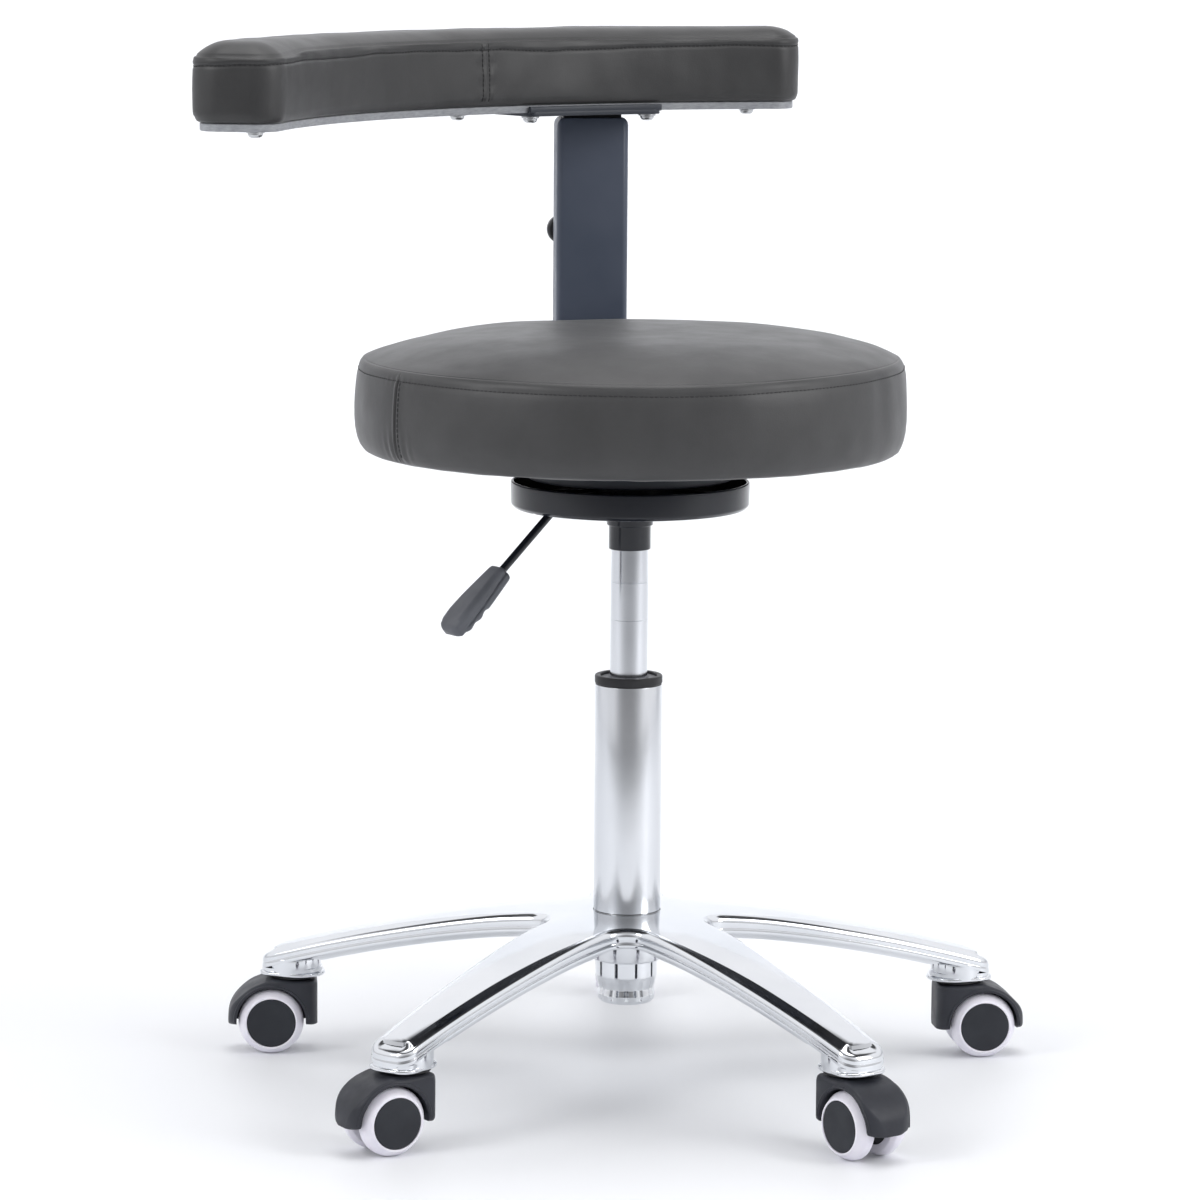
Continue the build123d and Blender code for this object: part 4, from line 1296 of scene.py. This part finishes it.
def make_seat():
    """The round cushion, from its profile turned about the seat's axis."""
    profile = spread([Vector(p) for p in seat_profile()], 6.0)
    angles = [math.radians(a) for a in seat_angles()]
    vertices, rings = [], []
    for radius, height in profile:
        start = len(vertices)
        if radius < 0.01:
            rings.append([start] * len(angles))
            vertices.append(Vector((0, 0, height)))
            continue
        rings.append(list(range(start, start + len(angles))))
        vertices += [seat_point(radius, height, a) for a in angles]
    faces = ring_faces(rings)
    cover = add_piece("seat_cover", vertices, faces, "seat_leather", "seat", ["seat_cushion"], 180)


def make_seat_stitches():
    """The row of stitches round the band, and the row down beside its seam."""
    path, ups = [], []
    for k in range(720):
        angle = math.radians(k / 2)
        sway = 0.5 * ripple(polar(thread_radius, k / 2), 60, 7)
        path.append(seat_point(stitch_radius + 0.15, stitch_height + sway, angle))
        ups.append(Vector((math.cos(angle), math.sin(angle), 0.12)).normalized())
    ring = stitch_line(path, ups, closed=True)
    seam, out = [], []
    angle = math.radians(band_seam) + 4.4 / band_radius
    for radius, height in [p for p in seat_profile() if 480 < p[1] <= stitch_height + 0.1 and p[0] > 198]:
        seam.append(seat_point(radius + 0.2, height, angle))
        out.append(Vector((math.cos(angle), math.sin(angle), 0)))
    row = stitch_line(seam, out)
    add_piece("seat_stitches", *joined(ring, row), "thread", "seat", slot="seat_leather")


make_seat()
make_seat_stitches()

# ---- crescent pad ---------------------------------------------------------------------
pad_centre = Vector((211.0, -222.0, 0))
pad_inner, pad_outer = 465.0, 530.0
pad_first, pad_last = 99.6, 172.6
pad_corner = 22.0
pad_middle = (pad_inner + pad_outer) / 2
pad_half_width = (pad_outer - pad_inner) / 2
pad_foot, pad_top = pad_low.z, pad_high.z
pad_crease, pad_stitch = pad_top - 8.2, pad_top - 14.6
pad_end_drop = 2.8
pad_start = math.radians(pad_first) * pad_middle
pad_stop = math.radians(pad_last) * pad_middle
pad_seam = pad_start + (pad_stop - pad_start) * 0.47
seam_stitch = 3.2


def pad_point(along, across, height=0.0):
    """A point from its arc length along the pad's middle line and its radius about the pad's centre."""
    return pad_centre + polar(across, math.degrees(along / pad_middle), height)


def pad_direction(along, across_step, along_step):
    """A direction given across and along the pad's middle line."""
    turn = along / pad_middle
    radial = Vector((math.cos(turn), math.sin(turn), 0))
    return radial * across_step + UP.cross(radial) * along_step


def pad_outline(inset, corner):
    """The pad's plan, unrolled along its middle line, as (along, across) points."""
    low, high = pad_start + inset, pad_stop - inset
    near, far = pad_middle - pad_half_width + inset, pad_middle + pad_half_width - inset
    flat = rounded([(low, near), (high, near), (high, far), (low, far)], corner, 14, closed=True)
    return spread(flat, 2.5, closed=True)


def pad_spine(plan):
    """The nearest points of the pad's middle line, for the points of a plan."""
    low, high = pad_start + pad_half_width, pad_stop - pad_half_width
    return [Vector((min(high, max(low, p.x)), pad_middle)) for p in plan]


pad_plan = pad_outline(0.0, pad_corner)
pad_outward = [-inward for inward in inward_of(pad_plan)]


def pad_skin(i, push, height):
    """A point of the pad's skin over outline point i, pushed outwards, at a height."""
    flat = pad_plan[i] + pad_outward[i] * push
    return pad_point(flat.x, flat.y, height)


def end_drop(i):
    """How much lower the edge sits near the pad's far end."""
    return pad_end_drop * smooth(pad_plan[i].x, pad_stop - 90, pad_stop - 10)


def stitch_level(i):
    """The height of the seam at an outline point; it wanders a little."""
    flat = pad_plan[i]
    wander = 1.3 * ripple((flat.x, flat.y * 2.2, 0), 62, 8) + 0.4 * ripple((flat.x, flat.y, 0), 19, 9)
    return pad_stitch - 0.5 * end_drop(i) + wander


def band_push(i, height):
    """How far the side band stands out from the plan at a height."""
    share = (height - pad_foot) / (pad_crease - pad_foot)
    flat = pad_plan[i]
    swell = 0.3 + 1.3 * math.sin(math.pi * min(1.0, max(0.0, share)) ** 0.9)
    swell *= 0.6 + 0.4 * smooth(abs(flat.y - pad_middle), pad_half_width - 12, pad_half_width)
    wave = 0.75 * ripple((flat.x, flat.y * 1.6, height * 1.1), 46, 10)
    wave += 0.35 * ripple((flat.x, flat.y, height * 0.6), 17, 11)
    ease = smooth(height, pad_foot, pad_foot + 9) * (1 - smooth(height, pad_crease - 3, pad_crease + 1))
    sew = stitch_level(i)
    groove = -0.75 * math.exp(-((height - sew) / 1.15) ** 2)
    fold = 0.35 * math.exp(-((height - sew - 3.0) / 1.6) ** 2)
    near_seam = 0.0
    if flat.y < pad_middle:
        side = flat.x - pad_seam
        near_seam = 0.55 * math.exp(-(side / 2.6) ** 4) - 0.9 * math.exp(-((side - seam_stitch) / 0.7) ** 2)
        near_seam -= 0.9 * math.exp(-((side + seam_stitch) / 0.7) ** 2)
        near_seam += 0.5 * math.exp(-((abs(side) - 6.5) / 3.0) ** 2) * math.cos(height * 0.42)
        near_seam *= smooth(height, pad_foot + 1, pad_foot + 5)
        near_seam *= 1 - smooth(height, pad_crease - 1, pad_crease + 1)
    return (swell + wave) * ease + groove + fold + near_seam


def make_pad():
    """The pad's skin by rows: out along the underside, up the band, over the crease and in over the dome."""
    count = len(pad_plan)
    rows = []
    spine = pad_spine(pad_plan)

    def inner_row(share, height_of, wave=0.0):
        """A row a share of the way from the plan to the middle line."""
        points = []
        for i in range(count):
            flat = pad_plan[i].lerp(spine[i], share)
            here = pad_point(flat.x, flat.y, 0)
            lift = wave * (ripple(here, 75, 12) + 0.35 * ripple(here, 26, 13))
            points.append(pad_point(flat.x, flat.y, height_of(i) + lift))
        rows.append(points)

    def band_row(height_of):
        """A row round the side band."""
        rows.append([pad_skin(i, band_push(i, height_of(i)), height_of(i)) for i in range(count)])

    for share in (1.0, 0.72, 0.45, 0.22):
        inner_row(share, lambda i: pad_foot + 0.1)
    for push, rise in ((-5.2, 0.1), (-3.4, 0.4), (-1.9, 1.1), (-0.9, 2.3), (-0.25, 4.0)):
        rows.append([pad_skin(i, push, pad_foot + rise) for i in range(count)])
    band_foot, band_top = pad_foot + 5.6, pad_stitch - 7
    for k in range(16):
        band_row(lambda i, height=band_foot + (band_top - band_foot) * k / 15: height)
    for step in (-3.6, -2.2, -1.3, -0.6, 0.0, 0.6, 1.3, 2.2, 3.2, 4.2):
        band_row(lambda i, rise=step: stitch_level(i) + rise)
    crease = [pad_crease - end_drop(i) + 0.25 * ripple((p.x, p.y, 0), 30, 14) for i, p in enumerate(pad_plan)]
    for push, drop in ((0.35, 0.9), (0.0, 0.35), (-0.45, 0.0), (-0.8, 0.35), (-1.1, 0.35)):
        rows.append([pad_skin(i, push, crease[i] - drop) for i in range(count)])
    dome = pad_top + 0.5 - pad_crease
    dome_rows = 17
    for k in range(1, dome_rows + 1):
        share = 0.04 + 0.96 * (k / dome_rows) ** 1.25
        rise = 1 - (1 - min(1.0, share / 0.78)) ** 2.3
        wave = 0.55 * smooth(share, 0.05, 0.3)
        inner_row(share, lambda i, r=rise: pad_crease - end_drop(i) + (dome + end_drop(i)) * r, wave)
    faces = grid_faces(len(rows), count)
    vertices = [p for points in rows for p in points]
    # the pad wears the darker copy of the seat leather: painted shade
    pad = add_piece("pad_cover", vertices, faces, "shaded_pad_leather", "backrest", ["arm_pad"], 180,
                    slot="seat_leather")


def make_pad_stitches():
    """The row of stitches round the band, and the two rows beside the seam in its inner side."""
    count = len(pad_plan)
    path = [pad_skin(i, band_push(i, stitch_level(i)) + 0.25, stitch_level(i)) for i in range(count)]
    ups = [pad_direction(p.x, out.y, out.x).normalized() for p, out in zip(pad_plan, pad_outward)]
    shells = [stitch_line(path, ups, closed=True)]
    inner = [i for i in range(count) if pad_plan[i].y <= pad_middle]
    for side in (-seam_stitch, seam_stitch):
        near = min(inner, key=lambda i: abs(pad_plan[i].x - pad_seam - side))
        foot, top = pad_foot + 4, stitch_level(near) + 5
        heights = [foot + (top - foot) * k / 30 for k in range(31)]
        seam = [pad_skin(near, band_push(near, h) + 0.3, h) for h in heights]
        shells.append(stitch_line(seam, [ups[near]] * len(seam)))
    add_piece("pad_stitches", *joined(*shells), "thread", "backrest", slot="seat_leather")


make_pad()
make_pad_stitches()

# ---- pad board, flange and screws -----------------------------------------------------
board_inset = 2.5
board_foot, board_top = board_low.z - 1.2, board_high.z


def bent_rows(plan, levels):
    """Rows of points of a plan bent round the pad's centre, one for each (inset, height)."""
    inward = inward_of(plan)
    return [[pad_point(*(p + n * inset), height) for p, n in zip(plan, inward)] for inset, height in levels]


def make_board():
    """The grey board under the pad, with softened rims."""
    plan = pad_outline(board_inset + 0.8, pad_corner - 1.5)
    levels = [(1.0, board_foot), (0.3, board_foot + 0.25), (0, board_foot + 0.9), (0, board_top - 0.5),
              (0.5, board_top)]
    rows = bent_rows(plan, levels)
    spine = pad_spine(plan)
    for share in (0.5, 1.0):
        rows.append([pad_point(*p.lerp(e, share), board_top) for p, e in zip(plan, spine)])
        rows.insert(0, [pad_point(*p.lerp(e, share), board_foot) for p, e in zip(plan, spine)])
    vertices = [p for points in rows for p in points]
    faces = grid_faces(len(rows), len(plan))
    add_piece("pad_base_board", vertices, faces, "board_laminate", "backrest", ["pad_board"], 40)


flange_foot, flange_top = 715.0, 719.0
lip_high, lip_thick = 722.6, 2.85
slider_foot, slider_gap = 515.0, 5.1
lip_inner = pad_inner + board_inset - 3.0
flange_first, flange_last = 113.8, 128.4


def sector_outline(inner, outer, first, last, corner, steps=6):
    """A band between two arcs about the pad's centre, as (along, across) points."""
    low, high = (math.radians(a) * pad_middle for a in (first, last))
    flat = rounded([(low, inner), (high, inner), (high, outer), (low, outer)], corner, steps, closed=True)
    return spread(flat, 3.0, closed=True)


def sector_prism(outline, levels):
    """A closed body from a sector's outline."""
    vertices = [p for points in bent_rows(outline, levels) for p in points]
    return vertices, capped_faces(len(levels), len(outline))


def make_slider():
    """The bar that slides in the post, and the flange with its front lip that carries the pad."""
    plate = sector_prism(sector_outline(lip_inner, pad_outer - 1, flange_first, flange_last, [6, 6, 5, 5]),
                         edge_levels(flange_foot, flange_top, 0.7, 3))
    lip = sector_prism(sector_outline(lip_inner, lip_inner + lip_thick, flange_first, flange_last, 0.9, 4),
                       edge_levels(flange_top - 1.5, lip_high, 0.9, 3))
    outer = rectangle(post_width - 2 * slider_gap, post_depth - 2 * slider_gap, 2.0, 6)
    bar = prism(outer, edge_levels(slider_foot, flange_foot + 0.4, 0.5, 2), post_place)
    add_piece("slider_bar", *bar, "black_plastic", "backrest", ["arm_slider"], 40, slot="blue_grey_paint")
    shells = joined(plate, lip)
    # the flange wears the darker copy of the blue-grey paint: painted shade under the pad
    add_piece("pad_flange", *shells, "dark_grey_paint", "backrest", ["arm_slider"], 40,
              slot="blue_grey_paint")


# each screw's place as its radius and bearing about the pad's centre
flange_screws = [(478, 114.6), (478, 127.2)]
board_screws = [(480, 104.6), (480, 135.7), (484, 171.2)]


def make_screws():
    """Button-head screws with a socket, those of the flange on thicker washers."""
    shells = []
    for places, seat, washer in ((flange_screws, flange_foot, 1.8), (board_screws, board_foot, 0.6)):
        for radius, angle in places:
            spot = pad_centre + polar(radius, angle, seat)
            place = frame_at(spot, (1, 0, 0), -UP)
            ring = rounded([(2.6, 0), (6.8, 0), (6.8, washer), (2.6, washer), (2.6, 0)], 0.25, 2)
            head = [(0, washer + 1.6), (2.0, washer + 1.6), (2.1, washer + 3.55), (3.0, washer + 3.6),
                    (4.4, washer + 2.9), (5.3, washer + 1.6), (5.5, washer), (0, washer)]
            head = rounded(head, [0, 0, 0.2, 0.8, 1.5, 1.2, 0.2, 0], 3)
            shells += [lathe(ring, 40, place), lathe(head, 40, place)]
    add_piece("pad_bolt_heads", *joined(*shells), "steel", "backrest", ["pad_screws"], 40)


make_board()
make_slider()
make_screws()

# ---- swinging arm, knob and clamp screw -------------------------------------------------
plate_low, plate_high = box_mm("top_plate")
washer_low, washer_high = box_mm("swivel_washer")
cloth_low = box_mm("dust_cloth")[0]
bracket_low, bracket_high = box_mm("arm_bracket")
liner_low, liner_high = box_mm("post_liner")
bush_low, bush_high = box_mm("guide_bush")
knob_place = frame_at(joint_place("knob_turn"), arm_side, arm_out)
pivot_radius = 32.05
plate_radius, plate_fillet, plate_end = 76.0, 12.0, 246.0
bolt_ring = 62.0
bolt_angles = (45, 135, 225, 315)
cloth_radius, cloth_thick, cloth_sag = 190.5, 0.5, 3.2


def cut(piece, vertices, faces):
    """Cut a closed shape, given in millimetres, out of a piece."""
    mesh = bpy.data.meshes.new("cutter")
    mesh.from_pydata([tuple(Vector(v) * MM) for v in vertices], [], faces)
    shell = bmesh.new()
    shell.from_mesh(mesh)
    bmesh.ops.recalc_face_normals(shell, faces=shell.faces)
    shell.to_mesh(mesh)
    shell.free()
    tool = bpy.data.objects.new("cutter", mesh)
    bpy.context.scene.collection.objects.link(tool)
    step = piece.modifiers.new("cut", "BOOLEAN")
    step.operation, step.solver, step.object = "DIFFERENCE", "EXACT", tool
    result = bpy.data.meshes.new_from_object(piece.evaluated_get(bpy.context.evaluated_depsgraph_get()))
    piece.modifiers.remove(step)
    result.name = piece.data.name
    piece.data = result
    piece.data.set_sharp_from_angle(angle=math.radians(40))
    bpy.data.objects.remove(tool)


def sleeve(outer, inner, low, high, edge, place):
    """A tube between two outlines with the same number of points, with softened rims."""
    vertices = []
    levels = [(outer, edge, low), (outer, 0, low + edge), (outer, 0, high - edge), (outer, edge, high),
              (inner, 0, high), (inner, 0, low)]
    for outline, inset, height in levels:
        vertices += [place @ Vector((*(p + n * inset), height)) for p, n in zip(outline, inward_of(outline))]
    return vertices, grid_faces(len(levels), len(outer), wrap_rows=True)


def make_bracket():
    """The flat plate that turns about the hub and carries the post at its end."""
    disc, corner, half = plate_radius, plate_fillet, post_width / 2
    root = math.sqrt((disc + corner) ** 2 - (half + corner) ** 2)
    meet = math.atan2(half + corner, root)
    fillet = [-math.pi / 2 - (math.pi / 2 - meet) * k / 8 for k in range(9)]
    side = [Vector((plate_end, half))]
    side += [Vector((root + corner * math.cos(a), half + corner + corner * math.sin(a))) for a in fillet]
    round_back = [meet + (2 * math.pi - 2 * meet) * k / 90 for k in range(1, 90)]
    back = [Vector((disc * math.cos(a), disc * math.sin(a))) for a in round_back]
    outline = side + back + [Vector((p.x, -p.y)) for p in reversed(side)]
    outline = rounded(outline, [4.0] + [0] * (len(outline) - 2) + [4.0], 5, closed=True)
    foot, top = bracket_low.z, bracket_high.z
    shell = prism(outline, edge_levels(foot, top, 1.0, 3), frame_at((0, 0, 0), arm_out, UP))
    # the plate wears the darker copy of the blue-grey paint: painted shade in the gap under the seat
    plate = add_piece("swing_plate", *shell, "dark_grey_paint", "arm", ["arm_bracket"], 40,
                      slot="blue_grey_paint")
    hole = [(0, foot - 1), (pivot_radius, foot - 1), (pivot_radius, top + 1), (0, top + 1)]
    cut(plate, *lathe(hole, 96))


def make_knob():
    """A five-lobed hand knob with a hub, a dished face and a small cap, on a threaded stud."""
    tip, ring, lobe, waist = 30.0, 18.5, 11.5, 20.4
    columns = 160

    def lobed(radius, height, angle):
        """The knob's radius, drawn in between its five lobes."""
        away = (angle + math.pi / 5) % (2 * math.pi / 5) - math.pi / 5
        off = ring * math.sin(away)
        reach = max(waist, ring * math.cos(away) + math.sqrt(max(0.0, lobe * lobe - off * off)))
        share = smooth(radius, 11, 22)
        return radius * (1 - share * (1 - reach / tip))

    profile = [(5.2, 9.2), (9.5, 9.2), (9.5, 13.0), (24, 12.6), (28.6, 13.2), (tip, 15.2), (tip, 21.5),
               (28.8, 25.4), (24.5, 27.4), (17, 27.5), (12.5, 26.6), (11.8, 26.0), (11.2, 26.5), (10.6, 26.9),
               (0, 27.2)]
    radii = [0, 0.6, 1.0, 3, 1.5, 1.5, 3.0, 2.0, 3.0, 4, 0.8, 0.2, 0.3, 0.5, 0]
    vertices, faces = lathe(spread(rounded(profile, radii, 5), 1.2), columns, knob_place, lobed)
    faces.append(list(range(columns)))
    add_piece("hand_knob", vertices, faces, "black_plastic", "knob", ["star_knob"], 40)


def make_stud():
    """The knob's threaded stud, one millimetre a turn, as plain ridges."""
    start, stop, crest, root, end = -4.8, 21.0, 5.0, 4.45, 4.2
    profile = [(0, start), (end, start)]
    for k in range(25):
        run = start + 0.4 + k
        profile += [(crest, run), (root, run + 0.5)]
    profile += [(end, stop), (0, stop)]
    add_piece("threaded_stud", *lathe(profile, 40, knob_place), "steel", "knob", ["clamp_screw"], 20)


def make_liner():
    """The plastic liner between the post and the slider."""
    width, depth = post_width - 2 * post_wall, post_depth - 2 * post_wall
    outer = rectangle(width - 0.1, depth - 0.1, 1.6, 6)
    inner = rectangle(width - 5, depth - 5, 1.2, 6)
    shell = sleeve(outer, inner, liner_low.z, liner_high.z, 0.4, post_place)
    add_piece("slide_liner", *shell, "black_plastic", "arm", ["post_liner"], 40)


def make_stack():
    """The bush in the column's mouth, the washer the arm turns on, and the plate under the seat."""
    neck, lip = column_high.z, bush_high.z + 2.6
    bore, outside, collar_edge = 14.1, column_high.x - 2.1, 20.8
    bush = [(bore, bush_low.z), (outside, bush_low.z), (outside, neck), (collar_edge, neck),
            (collar_edge, lip), (bore + 1.3, lip), (bore, lip - 1.3), (bore, bush_low.z)]
    bush = rounded(bush, [0, 0.5, 0.3, 0, 0.5, 0.3, 0.3, 0], 3)
    turned("column_bush", bush, "grey_plastic", "base", ["guide_bush"])
    foot, top, inside, outside = washer_low.z, washer_high.z, pivot_radius + 0.05, 50
    ring = [(inside, foot), (outside, foot), (outside, top), (inside, top), (inside, foot)]
    ring = rounded(ring, [0, 0.8, 0.8, 0.4, 0], 4)
    turned("turning_washer", ring, "grey_plastic", "seat", ["swivel_washer"])
    radius = plate_high.x
    disc = [(0, plate_low.z), (radius, plate_low.z), (radius, plate_high.z), (0, plate_high.z)]
    disc = rounded(disc, [0, 1.4, 0.6, 0], 4)
    plate = turned("round_plate", disc, "black_gloss_paint", "seat", ["top_plate"])
    shells = []
    for angle in bolt_angles:
        spot = polar(bolt_ring, angle, plate_low.z)
        place = frame_at(spot, (1, 0, 0), -UP)
        head = [(0, -14), (3.1, -14), (3.1, -0.02), (6.0, -0.02), (6.0, 1.2), (4.6, 2.9), (2.1, 3.2),
                (1.9, 1.6), (0, 1.6)]
        shells.append(lathe(rounded(head, [0, 0.3, 0, 0.2, 0.6, 0.8, 0.2, 0.2, 0], 3), 40, place))
        cut(plate, *lathe([(0, -8), (3.25, -8), (3.25, 1), (0, 1)], 32, place))
    add_piece("plate_bolt_heads", *joined(*shells), "steel", "seat", ["plate_bolts"], 40)


def cloth_height(radius, angle):
    """The cloth lies flat over the plate and near the staples, and hangs a little in between."""
    here = polar(radius, math.degrees(angle))
    share = smooth(radius, plate_high.x + 1, plate_high.x + 26) * (1 - smooth(radius, 150, 184))
    pleat = math.cos(angle * 24 + 1.5 * ripple(here, 60, 12))
    pleat *= smooth(radius, 130, 172) * (1 - smooth(radius, 176, 186))
    wave = 0.5 * ripple(here, 70, 13) + 0.25 * ripple(here, 22, 14)
    return cloth_low.z + 0.35 - share * (cloth_sag + wave) - 0.45 * pleat * share ** 0.2


def make_dust_cloth():
    """The black cloth stapled under the seat board, with a slight sag between plate and rim."""
    rings, columns = 76, 192
    disc, quads = lathe([(k * cloth_radius / rings, 0) for k in range(rings + 1)], columns)
    lower = [Vector((v.x, v.y, cloth_height(v.xy.length, math.atan2(v.y, v.x)))) for v in disc]
    upper = [v + UP * cloth_thick for v in lower]
    vertices, faces = joined((lower, quads), (upper, quads))
    count = len(disc)
    rim = list(range(count - columns, count))
    for k in range(columns):
        n = (k + 1) % columns
        faces.append([rim[k], rim[n], rim[n] + count, rim[k] + count])
    cloth = add_piece("under_cloth", vertices, faces, "dust_cloth", "seat", ["dust_cloth"], 60)


def make_staples():
    """Wire staples round the cloth's edge."""
    shells = []
    count, wire = 30, 0.45
    for k in range(count):
        angle = k * 360 / count + 3.0 * ripple((k * 7.7, 0, 0), 5, 15)
        spot = polar(185.0, angle, cloth_low.z + 0.1)
        along = polar(1, angle + 90 + 12 * ripple((k * 3.1, 4, 0), 5, 16))
        crown, leg = along * 4.6, along * 5
        shells.append(tube([spot - leg + UP, spot - crown, spot + crown, spot + leg + UP], wire, 8))
    add_piece("cloth_staples", *joined(*shells), "steel", "seat")


make_bracket()
make_knob()
make_stud()
make_liner()
make_stack()
make_dust_cloth()
make_staples()

lever_slot = rectangle(30, 9.4, 4.6, 8, (71.5, 0))
cut(dish, *prism(lever_slot, [(0, pan_low.z - 4), (0, pan_low.z + 6)], frame_at((0, 0, 0), lever_out, UP)))
